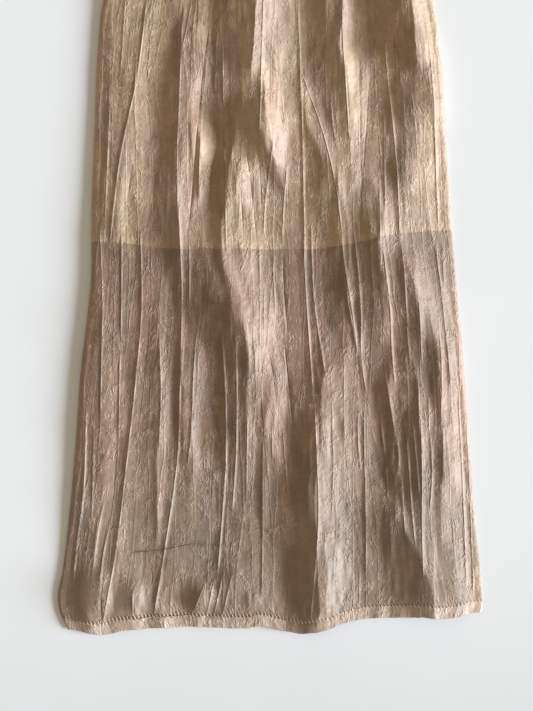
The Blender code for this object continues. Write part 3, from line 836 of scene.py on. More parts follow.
# ---- meshes ------------------------------------------------------------------------------------------
def smooth_object(name: str, mesh: bpy.types.Mesh) -> bpy.types.Object:
    """Checks a new mesh, shades it smooth and links its object to the scene."""
    mesh.validate()
    mesh.polygons.foreach_set("use_smooth", np.ones(len(mesh.polygons), bool))
    thing = bpy.data.objects.new(name, mesh)
    bpy.context.scene.collection.objects.link(thing)
    return thing


def grid_object(
    name: str, points: Array, uv: Array, layers: dict[str, Array] | None = None
) -> bpy.types.Object:
    """A sheet from a grid of points.

    Args:
        name: the object's name.
        points: [row][column][3] with rows towards the waist and columns towards +X, so that it faces up.
        uv: [row][column][2], the sheet's own two coordinates in metres.
        layers: values for each point, by name, which the materials read.

    Returns:
        The new object, linked to the scene and shaded smooth.
    """
    rows, columns = points.shape[:2]
    index = np.arange(rows * columns).reshape(rows, columns)
    quads = np.stack([index[:-1, :-1], index[:-1, 1:], index[1:, 1:], index[1:, :-1]], axis=-1).reshape(-1, 4)
    mesh = bpy.data.meshes.new(name)
    mesh.vertices.add(rows * columns)
    mesh.vertices.foreach_set("co", points.astype(np.float32).ravel())
    mesh.loops.add(quads.size)
    mesh.loops.foreach_set("vertex_index", quads.astype(np.int32).ravel())
    mesh.polygons.add(len(quads))
    mesh.polygons.foreach_set("loop_start", np.arange(0, quads.size, 4, dtype=np.int32))
    corner_uv = uv.reshape(-1, 2)[quads.ravel()]
    mesh.uv_layers.new(name="cloth").data.foreach_set("uv", corner_uv.astype(np.float32).ravel())
    for layer, values in (layers or {}).items():
        layer_data = mesh.attributes.new(layer, "FLOAT", "POINT").data
        layer_data.foreach_set("value", values.astype(np.float32).ravel())
    mesh.update(calc_edges=True)
    return smooth_object(name, mesh)


def thread_object(name: str, starts: Array, ends: Array, lift: float, radius: float) -> bpy.types.Object:
    """Many short stitches as one mesh: each an arched tube of five rings of six points.

    A ring's centre runs along a half sine from start to end, and its radius shrinks to 30 % at both ends.

    Args:
        name: the object's name.
        starts: [stitch][3], where each stitch comes up.
        ends: [stitch][3], where it goes down.
        lift: how high its middle stands above its ends.
        radius: the thread's radius in metres.

    Returns:
        The new object.
    """
    rings, corners, thin, tip = 5, 6, 0.30, 0.04
    along = np.linspace(0.0, 1.0, rings)[None, :, None, None]
    turn = np.linspace(0.0, 2.0 * math.pi, corners, endpoint=False)[None, None, :, None]
    starts, ends = starts[:, None, None, :], ends[:, None, None, :]
    run = ends - starts
    run = run / np.linalg.norm(run, axis=-1, keepdims=True)
    up = np.array([0.0, 0.0, 1.0])
    side = np.cross(run, up)
    side = side / np.linalg.norm(side, axis=-1, keepdims=True)
    centre = starts + (ends - starts) * along + up * lift * np.sin(math.pi * along)
    thick = radius * (thin + (1.0 - thin) * np.sin(math.pi * np.clip(along, tip, 1.0 - tip)) ** 0.5)
    points = centre + thick * (np.cos(turn) * side + np.sin(turn) * np.cross(side, run))
    first = (np.arange(points.shape[0]) * rings * corners)[:, None, None]
    corner = np.arange(corners)[None, None, :]
    following = (corner + 1) % corners
    low = first + np.arange(rings - 1)[None, :, None] * corners
    quads = [low + corner, low + corners + corner, low + corners + following, low + following]
    start_caps, end_caps = first[:, 0] + corner[0], first[:, 0] + (rings - 1) * corners + corner[0, :, ::-1]
    faces = np.stack(quads, axis=-1).reshape(-1, 4).tolist() + start_caps.tolist() + end_caps.tolist()
    mesh = bpy.data.meshes.new(name)
    mesh.from_pydata(points.reshape(-1, 3).tolist(), [], faces)
    return smooth_object(name, mesh)


def finish_piece(piece: bpy.types.Object, material: bpy.types.Material, slot: str, *nodes: str) -> None:
    """Gives a piece its material, lets it ride on the body and stand for the solids in nodes."""
    piece.data.materials.append(material)
    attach(piece, "root")
    if nodes:
        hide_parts(*nodes)
    LOG.info("%s: %d faces", piece.name, len(piece.data.polygons))


# ---- finishes ----------------------------------------------------------------------------------------
Settings = dict[Any, Any] | None
Socket = bpy.types.NodeSocket
Value = Any  # a socket to link, or a number, a vector or a colour to set


def linear(code: str) -> tuple[float, float, float, float]:
    """An sRGB hex colour, such as '#c0a080', as a linear colour with alpha 1."""
    codes = [int(code[start : start + 2], 16) / 255.0 for start in (1, 3, 5)]
    parts = [part / 12.92 if part <= 0.04045 else ((part + 0.055) / 1.055) ** 2.4 for part in codes]
    return (*parts, 1.0)


def add_node(
    tree: bpy.types.NodeTree, kind: str, settings: Settings = None, inputs: Settings = None
) -> bpy.types.Node:
    """Adds a node.

    Args:
        tree: the material's node tree.
        kind: the node's type, such as 'ShaderNodeMath'.
        settings: the node's own properties.
        inputs: by input name or number, a socket to link or a value to set.

    Returns:
        The new node.
    """
    node = tree.nodes.new(kind)
    for name, value in (settings or {}).items():
        setattr(node, name, value)
    for name, value in (inputs or {}).items():
        if isinstance(value, bpy.types.NodeSocket):
            tree.links.new(value, node.inputs[name])
        else:
            node.inputs[name].default_value = value
    return node


@dataclass(frozen=True)
class Mottle:
    """Patchiness from a noise: patches a metre, octaves and roughness, and the values it goes from and to."""

    scale: float
    detail: float
    roughness: float = 0.5
    source: Range = (0.0, 1.0)
    target: Range = (0.0, 1.0)


@dataclass(frozen=True)
class Sketch:
    """Adds the nodes of one material, each step through add_node, and hands back the socket to read."""

    material: bpy.types.Material

    @classmethod
    def start(cls, name: str) -> Sketch:
        """A new material with nodes."""
        material = bpy.data.materials.new(name)
        material.use_nodes = True
        return cls(material)

    def add(self, kind: str, settings: Settings = None, inputs: Settings = None) -> bpy.types.Node:
        """One node of this material."""
        return add_node(self.material.node_tree, kind, settings, inputs)

    def math(self, operation: str, first: Value, *others: Value) -> Socket:
        """A sum, product or other operation of two values, and of its result with each further value."""
        for other in others:
            first = self.add("ShaderNodeMath", {"operation": operation}, {0: first, 1: other}).outputs[0]
        return first

    def plus(self, *values: Value) -> Socket:
        """The sum of the values."""
        return self.math("ADD", *values)

    def times(self, *values: Value) -> Socket:
        """The product of the values."""
        return self.math("MULTIPLY", *values)

    def absolute(self, value: Value) -> Socket:
        """A value without its sign."""
        return self.math("ABSOLUTE", value, 0.0)

    def ranged(self, value: Value, source: Range, target: Range = (0.0, 1.0), kind: str = "LINEAR") -> Socket:
        """A value moved from one range to another and kept inside it."""
        ends = dict(zip(("Value", "From Min", "From Max", "To Min", "To Max"), (value, *source, *target)))
        return self.add("ShaderNodeMapRange", {"interpolation_type": kind}, ends).outputs["Result"]

    def mixed(self, factor: Value, first: Value, second: Value) -> Socket:
        """A blend of two colours."""
        inputs = {"Factor": factor, "A": first, "B": second}
        return self.add("ShaderNodeMix", {"data_type": "RGBA"}, inputs).outputs["Result"]

    def noise(self, place: Value, mottle: Mottle, output: str = "Fac") -> Socket:
        """The noise of a mottle, before its range."""
        sizes = {"Scale": mottle.scale, "Detail": mottle.detail, "Roughness": mottle.roughness}
        return self.add("ShaderNodeTexNoise", None, {"Vector": place, **sizes}).outputs[output]

    def mottled(self, place: Value, mottle: Mottle) -> Socket:
        """A value that varies in patches."""
        return self.ranged(self.noise(place, mottle), mottle.source, mottle.target)

    def stretched(self, place: Value, across: float, along: float, turn: float = 0.0) -> Socket:
        """The place counted in cells of so many millimetres, turned by an angle in radians."""
        inputs = {"Vector": place, "Rotation": (0.0, 0.0, turn), "Scale": (across * MM, along * MM, 1.0)}
        return self.add("ShaderNodeMapping", {"vector_type": "TEXTURE"}, inputs).outputs["Vector"]

    def cells(self, place: Value, feature: str = "F1") -> Any:
        """The outputs of random cells of size 1."""
        settings = {"voronoi_dimensions": "2D", "feature": feature}
        return self.add("ShaderNodeTexVoronoi", settings, {"Vector": place, "Scale": 1.0}).outputs

    def vector(self, operation: str, first: Value, second: Value) -> Socket:
        """A sum, difference or product of two vectors."""
        node = self.add("ShaderNodeVectorMath", {"operation": operation}, {0: first, 1: second})
        return node.outputs["Vector"]

    def part(self, place: Value, axis: str) -> Socket:
        """One part of a vector: X, Y or Z."""
        return self.add("ShaderNodeSeparateXYZ", None, {"Vector": place}).outputs[axis]

    def shifted(self, place: Value, mottle: Mottle, reach: Range) -> Socket:
        """The place moved by a noise, by up to so many millimetres across and along."""
        size = (reach[0] * MM, reach[1] * MM, 0.0)
        return self.vector("ADD", place, self.vector("MULTIPLY", self.noise(place, mottle, "Color"), size))

    def attribute(self, name: str) -> Socket:
        """A value that the mesh holds at each of its points."""
        return self.add("ShaderNodeAttribute", {"attribute_name": name}).outputs["Fac"]

    def object_place(self) -> Socket:
        """The place in the piece's own frame, in metres."""
        return self.add("ShaderNodeTexCoord").outputs["Object"]

    def cloth_place(self) -> Socket:
        """The place on the sheet's own map, in metres: across the cloth and above the hem's edge."""
        return self.add("ShaderNodeUVMap", {"uv_map": "cloth"}).outputs["UV"]

    def scaled(self, tone: Value, value: Value) -> Socket:
        """A tone made lighter or darker."""
        inputs = {0: tone, "Scale": value}
        return self.add("ShaderNodeVectorMath", {"operation": "SCALE"}, inputs).outputs["Vector"]

    def finish(
        self, tone: Value, roughness: float, normal: Socket | None = None, **extra: float
    ) -> bpy.types.Material:
        """Sets the shader.

        Args:
            tone: the base colour's socket.
            roughness: how rough it is.
            normal: the normal's socket, where there is a relief.
            extra: other constants, by the shader's names with _ for a space.

        Returns:
            The finished material.
        """
        tree = self.material.node_tree
        shader = tree.nodes["Principled BSDF"]
        tree.links.new(tone, shader.inputs["Base Color"])
        if normal:
            tree.links.new(normal, shader.inputs["Normal"])
        for name, value in {"Roughness": roughness, **extra}.items():
            shader.inputs[name.replace("_", " ")].default_value = value
        return self.material


@dataclass(frozen=True)
class Strips:
    """Flat strips that the pressing leaves between its lines: size in millimetres, lean, tilt and tone.

    Each strip is tilted by a random slope up to tilt and is lighter or darker by a random share up to tone.
    border is the rise of the sharp line between two strips, and line the width of its flank, in millimetres.
    """

    across: float
    along: float
    turn: float
    tilt: float
    tone: float
    border: float
    line: float = 1.2


@dataclass(frozen=True)
class Threads:
    """Thin raised lines of the crumple: mesh size and rise in millimetres, lean, line's share of a mesh.

    patchy is 0 for lines that are everywhere, 1 for lines only where the slow noise is high, -1 where low.
    """

    across: float
    along: float
    turn: float
    rise: float
    line: float
    patchy: float


@dataclass(frozen=True)
class CrinkledSheer:
    """Crinkle-pressed sheer viscose satin: a soft lustre on the crests, mauve-brown where it lies on itself
    and cream where the lining shows through. Its threads, 0.1 mm apart, are too fine to show. Its colour also
    holds painted light: a painted highlight on the fine wrinkles, painted light on the rolled side edges,
    painted shade along the storage creases, and a turned hem band painted partly lighter.

    Zones, the hem's turn and the stitches are in metres; strips, threads, strokes, the widths of the placed
    creases' sharp lines, the reaches of the shifts and the rises are in millimetres.
    """

    name: str = "crinkled_viscose_satin"
    flat_tone: str = "#846c58"
    raised_tone: str = "#8c6f5d"
    low_tone: str = "#84705e"
    low_zone: Range = (0.300, 0.120)
    low_share: float = 0.8
    lined_tone: str = "#a0886f"
    lined_raised_tone: str = "#9d826d"
    lining_fold_tone: str = "#a88f74"
    lining_blur: float = 0.0007
    lining_fold: Range = (0.0095, 0.0080)
    lining_line: Range = (0.0016, 0.90)
    hem_tone: str = "#b29c8b"
    hem_share: float = 0.75
    hem_turn: float = HEM_TURN
    hem_edge: Range = (0.0004, -0.0006)
    shaded_fold_across: float = 0.045
    shaded_fold_zone: Range = (0.020, 0.032)
    roughness: float = 0.68
    sheen: float = 0.04
    gloss: float = 0.9
    ior: float = 1.60
    pink: Mottle = Mottle(70.0, 4.0, 0.6, (0.3, 0.7), (-0.6, 0.6))
    pink_strip: float = 0.3
    fine: Mottle = Mottle(150.0, 5.0, 0.72, (0.36, 0.62), (0.90, 1.09))
    coarse: Mottle = Mottle(34.0, 4.0, 0.6, (0.38, 0.60), (0.92, 1.07))
    ragged: Mottle = Mottle(80.0, 2.5, 0.55)
    ragged_reach: Range = (7.0, 9.0)
    bent: Mottle = Mottle(55.0, 1.0)
    bent_reach: Range = (6.0, 7.0)
    patches: Mottle = Mottle(17.0, 1.0)
    patch_blur: float = 0.1
    crumpled: Mottle = Mottle(38.0, 3.0, 0.5, (0.38, 0.62), (0.15, 1.0))
    broken: Mottle = Mottle(62.0, 3.0, 0.5, (0.45, 0.60), (0.05, 1.0))
    crumple: Mottle = Mottle(190.0, 3.0)
    long_strips: Strips = Strips(19.0, 260.0, 0.0, 0.045, 0.09, 0.30)
    short_strips: Strips = Strips(11.0, 60.0, 0.04, 0.070, 0.13, 0.0)
    threads: tuple[Threads, ...] = (
        Threads(9.0, 42.0, 0.03, 0.32, 0.13, 0.0),
        Threads(5.5, 25.0, 0.15, 0.36, 0.20, 1.0),
        Threads(5.5, 22.0, -0.14, 0.36, 0.20, -1.0),
        Threads(4.6, 16.0, 0.50, 0.36, 0.22, 1.0),
        Threads(4.4, 15.0, -0.48, 0.34, 0.22, -1.0),
    )
    wrinkle_highlight: float = 0.26
    stroke: Mottle = Mottle(1.0, 1.5, 0.55)
    stroke_size: Range = (3.4, 26.0)
    stroke_lean: float = 0.60
    stroke_rise: float = 0.60
    stroke_line: float = 0.065
    stitch_pitch: float = STITCH_PITCH
    stitch_slant: float = STITCH_SLANT
    pucker_rise: float = 0.32
    pucker_zone: tuple[float, float, float] = (-0.0030, 0.0020, 0.0065)
    pucker_fade: Range = (-0.05, 0.06)
    pucker_least: float = 0.4
    line_left: float = 1.4
    line_right: float = 1.7
    line_share: float = 0.66
    worn: Mottle = Mottle(40.0, 2.0, 0.5, (0.40, 0.60), (0.25, 1.0))
    crease_shade_depth: float = 0.14
    crease_shade_half: float = 7.0
    side_light_share: float = 0.26

    def material(self) -> bpy.types.Material:
        """Builds the nodes: a colour by place, made uneven by strips and mottling, and a fine relief."""
        sketch = Sketch.start(self.name)
        cloth = sketch.cloth_place()
        ragged = sketch.shifted(cloth, self.ragged, self.ragged_reach)
        bent = sketch.shifted(cloth, self.bent, self.bent_reach)
        _, long_tilt, long_tone = self.strip(sketch, self.long_strips, cloth)
        drawn, short_tilt, short_tone = self.strip(sketch, self.short_strips, ragged)
        mottling = sketch.times(sketch.mottled(ragged, self.fine), sketch.mottled(ragged, self.coarse))
        strokes = self.strokes(sketch, bent, drawn["Red"])
        tilts = sketch.plus(long_tilt, short_tilt)
        normal, wrinkle_height = self.relief(sketch, cloth, (ragged, bent), tilts, strokes)
        lined = sketch.attribute("above_lining")
        lights = (
            # painted highlight: lighter in proportion to the height of the fine wrinkles, brightest on their
            # crests
            self.lit(sketch, wrinkle_height, self.wrinkle_highlight),
            # painted shade along the storage creases
            self.crease_shade(sketch),
            # painted light: the rolled side edges are made lighter, lifting the shade they lie in
            self.lit(sketch, sketch.attribute("side_painted_light"), self.side_light_share),
            sketch.ranged(sketch.absolute(lined), (0.0, self.lining_line[0]), (self.lining_line[1], 1.0)),
        )
        value = sketch.times(long_tone, short_tone, mottling, *lights)
        tone = sketch.scaled(self.colour(sketch, cloth, lined, drawn["Green"]), value)
        gloss = {"Sheen_Weight": self.sheen, "Specular_IOR_Level": self.gloss, "IOR": self.ior}
        return sketch.finish(tone, self.roughness, normal, **gloss)

    def colour(self, sketch: Sketch, cloth: Value, lined: Value, drawn: Value) -> Socket:
        """The colour by place: over the lining and its turned edge, on the bare cloth, and on the turned hem,
        whose lighter band is partly painted light.

        Args:
            sketch: the material's nodes.
            cloth: the place on the cloth.
            lined: distance above the lining's edge.
            drawn: a random value for each short strip.

        Returns:
            The colour's socket.
        """
        over = sketch.ranged(lined, (-self.lining_blur, self.lining_blur), kind="SMOOTHSTEP")
        turned = sketch.ranged(lined, self.lining_fold, kind="SMOOTHSTEP")
        by_strip = sketch.ranged(drawn, (0.0, 1.0), (-self.pink_strip, self.pink_strip))
        pink = sketch.plus(sketch.attribute("raised"), by_strip, sketch.mottled(cloth, self.pink))
        pink = sketch.ranged(pink, (0.0, 1.0))
        below = sketch.mixed(pink, linear(self.flat_tone), linear(self.raised_tone))
        above_hem = sketch.part(cloth, "Y")
        near_hem = sketch.ranged(above_hem, self.low_zone, (0.0, self.low_share), "SMOOTHSTEP")
        below = sketch.mixed(near_hem, below, linear(self.low_tone))
        # The turned hem's lighter band is partly its own double layer and partly painted light; it is left out
        # across the big fold's shaded flank, where shade falls on the hem.
        edge = (self.hem_turn + self.hem_edge[0], self.hem_turn + self.hem_edge[1])
        across = sketch.part(sketch.object_place(), "X")
        from_shaded_fold = sketch.absolute(sketch.math("SUBTRACT", across, self.shaded_fold_across))
        band = sketch.ranged(above_hem, edge, (0.0, self.hem_share))
        band = sketch.times(band, sketch.ranged(from_shaded_fold, self.shaded_fold_zone))
        below = sketch.mixed(band, below, linear(self.hem_tone))
        above = sketch.mixed(turned, linear(self.lined_tone), linear(self.lining_fold_tone))
        above = sketch.mixed(pink, above, linear(self.lined_raised_tone))
        return sketch.mixed(over, below, above)

    def lit(self, sketch: Sketch, share: Value, light: float) -> Socket:
        """A painted brightening: 1, and more by the share times the light."""
        return sketch.plus(1.0, sketch.times(share, light))

    def crease_shade(self, sketch: Sketch) -> Socket:
        """Painted shade along a storage crease: a soft tent of darker tone to each side of its line."""
        offset = sketch.absolute(sketch.attribute("cross_offset"))
        tent = sketch.ranged(offset, (0.0, self.crease_shade_half), (1.0, 0.0), "SMOOTHSTEP")
        depth = sketch.times(sketch.attribute("cross_rise"), self.crease_shade_depth)
        return sketch.plus(1.0, sketch.times(tent, depth))

    def strip(self, sketch: Sketch, strips: Strips, place: Value) -> tuple[Any, Socket, Socket]:
        """One pattern of strips.

        The height is the distance from the strip's middle times its random slope, plus the border's line.

        Args:
            sketch: the material's nodes.
            strips: the pattern.
            place: the place on the cloth.

        Returns:
            Three random values for each strip, its height in millimetres and its tone.
        """
        stretched = sketch.stretched(place, strips.across, strips.along, strips.turn)
        cells = sketch.cells(stretched)
        drawn = sketch.add("ShaderNodeSeparateColor", None, {"Color": cells["Color"]}).outputs
        from_middle = sketch.part(sketch.vector("SUBTRACT", stretched, cells["Position"]), "X")
        slope = strips.tilt * strips.across
        height = sketch.times(from_middle, sketch.ranged(drawn["Red"], (0.0, 1.0), (-slope, slope)))
        if strips.border:
            edge = sketch.cells(stretched, "DISTANCE_TO_EDGE")["Distance"]
            line = sketch.ranged(edge, (0.0, strips.line / strips.across), (strips.border, 0.0))
            height = sketch.plus(height, line)
        return drawn, height, sketch.ranged(drawn["Blue"], (0.0, 1.0), (1.0 - strips.tone, 1.0 + strips.tone))

    def strokes(self, sketch: Sketch, place: Value, drawn: Value) -> Socket:
        """Height in millimetres of the fine wrinkles like brush strokes.

        They lie where a noise stretched along the cloth is half-way, turned by each strip's own angle.
        """
        angle = sketch.ranged(drawn, (0.0, 1.0), (-self.stroke_lean, self.stroke_lean))
        inputs = {"Vector": place, "Angle": angle}
        turned = sketch.add("ShaderNodeVectorRotate", {"rotation_type": "Z_AXIS"}, inputs).outputs["Vector"]
        noise = sketch.noise(sketch.stretched(turned, *self.stroke_size), self.stroke)
        away = sketch.absolute(sketch.math("SUBTRACT", noise, 0.5))
        return sketch.ranged(away, (0.0, self.stroke_line), (self.stroke_rise, 0.0))

    def relief(
        self, sketch: Sketch, cloth: Value, places: tuple[Socket, Socket], tilts: Value, strokes: Value
    ) -> tuple[Socket, Socket]:
        """The crumple that is too fine for the mesh, and the sharp lines of the placed creases.

        A slow noise keeps the slanting threads to patches; the mesh says where the cloth is pressed smooth.

        Args:
            sketch: the material's nodes.
            cloth: the place on the cloth.
            places: the same place, pushed aside roughly and smoothly.
            tilts: height of the strips.
            strokes: height of the fine wrinkles.

        Returns:
            The normal, and the height of the threads and wrinkles alone, in millimetres, which also sets a
            painted highlight on their crests.
        """
        patches = sketch.noise(cloth, self.patches)
        crumpled = sketch.mottled(cloth, self.crumpled)
        broken = sketch.times(sketch.mottled(cloth, self.broken), sketch.math("POWER", crumpled, 0.5))
        crumple = sketch.times(sketch.noise(places[0], self.crumple), crumpled)
        total = strokes
        for threads in self.threads:
            place = places[1] if threads.patchy < 0.0 else places[0]
            stretched = sketch.stretched(place, threads.across, threads.along, threads.turn)
            edge = sketch.cells(stretched, "DISTANCE_TO_EDGE")["Distance"]
            line = sketch.ranged(edge, (0.0, threads.line), (1.0, 0.0))
            blur = self.patch_blur * threads.patchy
            least = threads.rise * (1.0 - abs(threads.patchy))
            share = sketch.ranged(patches, (0.5 - blur, 0.5 + blur), (least, threads.rise))
            total = sketch.plus(total, sketch.times(line, share))
        crinkled = sketch.attribute("crinkled")
        wrinkle_height = sketch.times(total, sketch.times(broken, crinkled))
        smooth = sketch.times(sketch.plus(tilts, crumple), crinkled)
        lines = [self.line_height(sketch, cloth, kind) for kind in ("line", "cross")]
        total = sketch.plus(wrinkle_height, smooth, *lines, self.puckers(sketch, cloth))
        return sketch.add("ShaderNodeBump", None, {"Height": total, "Distance": MM}).outputs["Normal"], wrinkle_height

    def puckers(self, sketch: Sketch, cloth: Value) -> Socket:
        """Height of the small slanting puckers that the hem's stitches pull up, in millimetres.

        A sine of the place along the hem plus the slant, within 6.5 mm of the stitches, weaker to the right.

        Args:
            sketch: the material's nodes.
            cloth: the place on the cloth.

        Returns:
            The height's socket.
        """
        above = sketch.part(cloth, "Y")
        across = sketch.part(sketch.object_place(), "X")
        phase = sketch.plus(across, sketch.times(above, self.stitch_slant))
        wave = sketch.math("SINE", sketch.times(phase, 2.0 * math.pi / self.stitch_pitch), 0.0)
        start, full, end = (self.hem_turn + reach for reach in self.pucker_zone)
        low = sketch.ranged(above, (start, self.hem_turn), kind="SMOOTHSTEP")
        high = sketch.ranged(above, (end, full), kind="SMOOTHSTEP")
        rises = (self.pucker_rise, self.pucker_least * self.pucker_rise)
        rise = sketch.ranged(across, self.pucker_fade, rises)
        return sketch.times(wave, sketch.times(low, high, rise))

    def line_height(self, sketch: Sketch, cloth: Value, kind: str) -> Socket:
        """Height of the nearest placed crease's sharp line: a narrow tent about the line."""
        offset = sketch.attribute(f"{kind}_offset")
        left = sketch.ranged(offset, (-self.line_left, 0.0))
        right = sketch.ranged(offset, (0.0, self.line_right), (1.0, 0.0))
        rise = sketch.times(sketch.attribute(f"{kind}_rise"), sketch.mottled(cloth, self.worn))
        return sketch.times(sketch.math("MINIMUM", left, right), rise, self.line_share)


@dataclass(frozen=True)
class LiningSatin:
    """Plain cream acetate lining: smooth, close-woven, a low gloss."""

    name: str = "cream_acetate_lining"
    tone: str = "#d9c6a6"
    roughness: float = 0.5
    uneven: Mottle = Mottle(60.0, 4.0, 0.5, (0.0, 1.0), (0.9, 1.08))

    def material(self) -> bpy.types.Material:
        """Builds the nodes: one tone with slight unevenness."""
        sketch = Sketch.start(self.name)
        uneven = sketch.mottled(sketch.object_place(), self.uneven)
        return sketch.finish(sketch.scaled(linear(self.tone)[:3], uneven), self.roughness)


@dataclass(frozen=True)
class SewingThread:
    """Spun polyester thread, dull, a shade lighter than the cloth."""

    name: str = "spun_polyester_thread"
    tone: str = "#d8c2ae"
    roughness: float = 0.7
    twist_scale: float = 900.0
    twist_tones: Range = (0.85, 1.05)

    def material(self) -> bpy.types.Material:
        """Builds the nodes: a twist of fine diagonal bands along the thread."""
        sketch = Sketch.start(self.name)
        inputs = {"Vector": sketch.object_place(), "Scale": self.twist_scale}
        twist = sketch.add("ShaderNodeTexWave", {"bands_direction": "DIAGONAL"}, inputs).outputs["Fac"]
        twist = sketch.ranged(twist, (0.0, 1.0), self.twist_tones)
        return sketch.finish(sketch.scaled(linear(self.tone)[:3], twist), self.roughness)


@dataclass(frozen=True)
class PaintedBoard:
    """White painted board: matt, a little cool, very slightly uneven, with painted shade that darkens it
    towards its lower edge.
    """

    name: str = "white_painted_board"
    tone: str = "#ebf0f6"
    roughness: float = 0.75
    uneven: Mottle = Mottle(5.0, 6.0, 0.55, (0.3, 0.7), (0.985, 1.015))
    painted_shade_zone: Range = (-0.62, -0.30)
    painted_shade_tone: float = 0.90

    def material(self) -> bpy.types.Material:
        """Builds the nodes: a broad, faint mottling and painted shade that slowly darkens the board towards
        its lower edge.
        """
        sketch = Sketch.start(self.name)
        place = sketch.object_place()
        # painted shade: the board darkens to 90 % towards its lower edge
        painted_shade = sketch.ranged(sketch.part(place, "Y"), self.painted_shade_zone, (self.painted_shade_tone, 1.0), "SMOOTHSTEP")
        value = sketch.times(sketch.mottled(place, self.uneven), painted_shade)
        return sketch.finish(sketch.scaled(linear(self.tone)[:3], value), self.roughness)


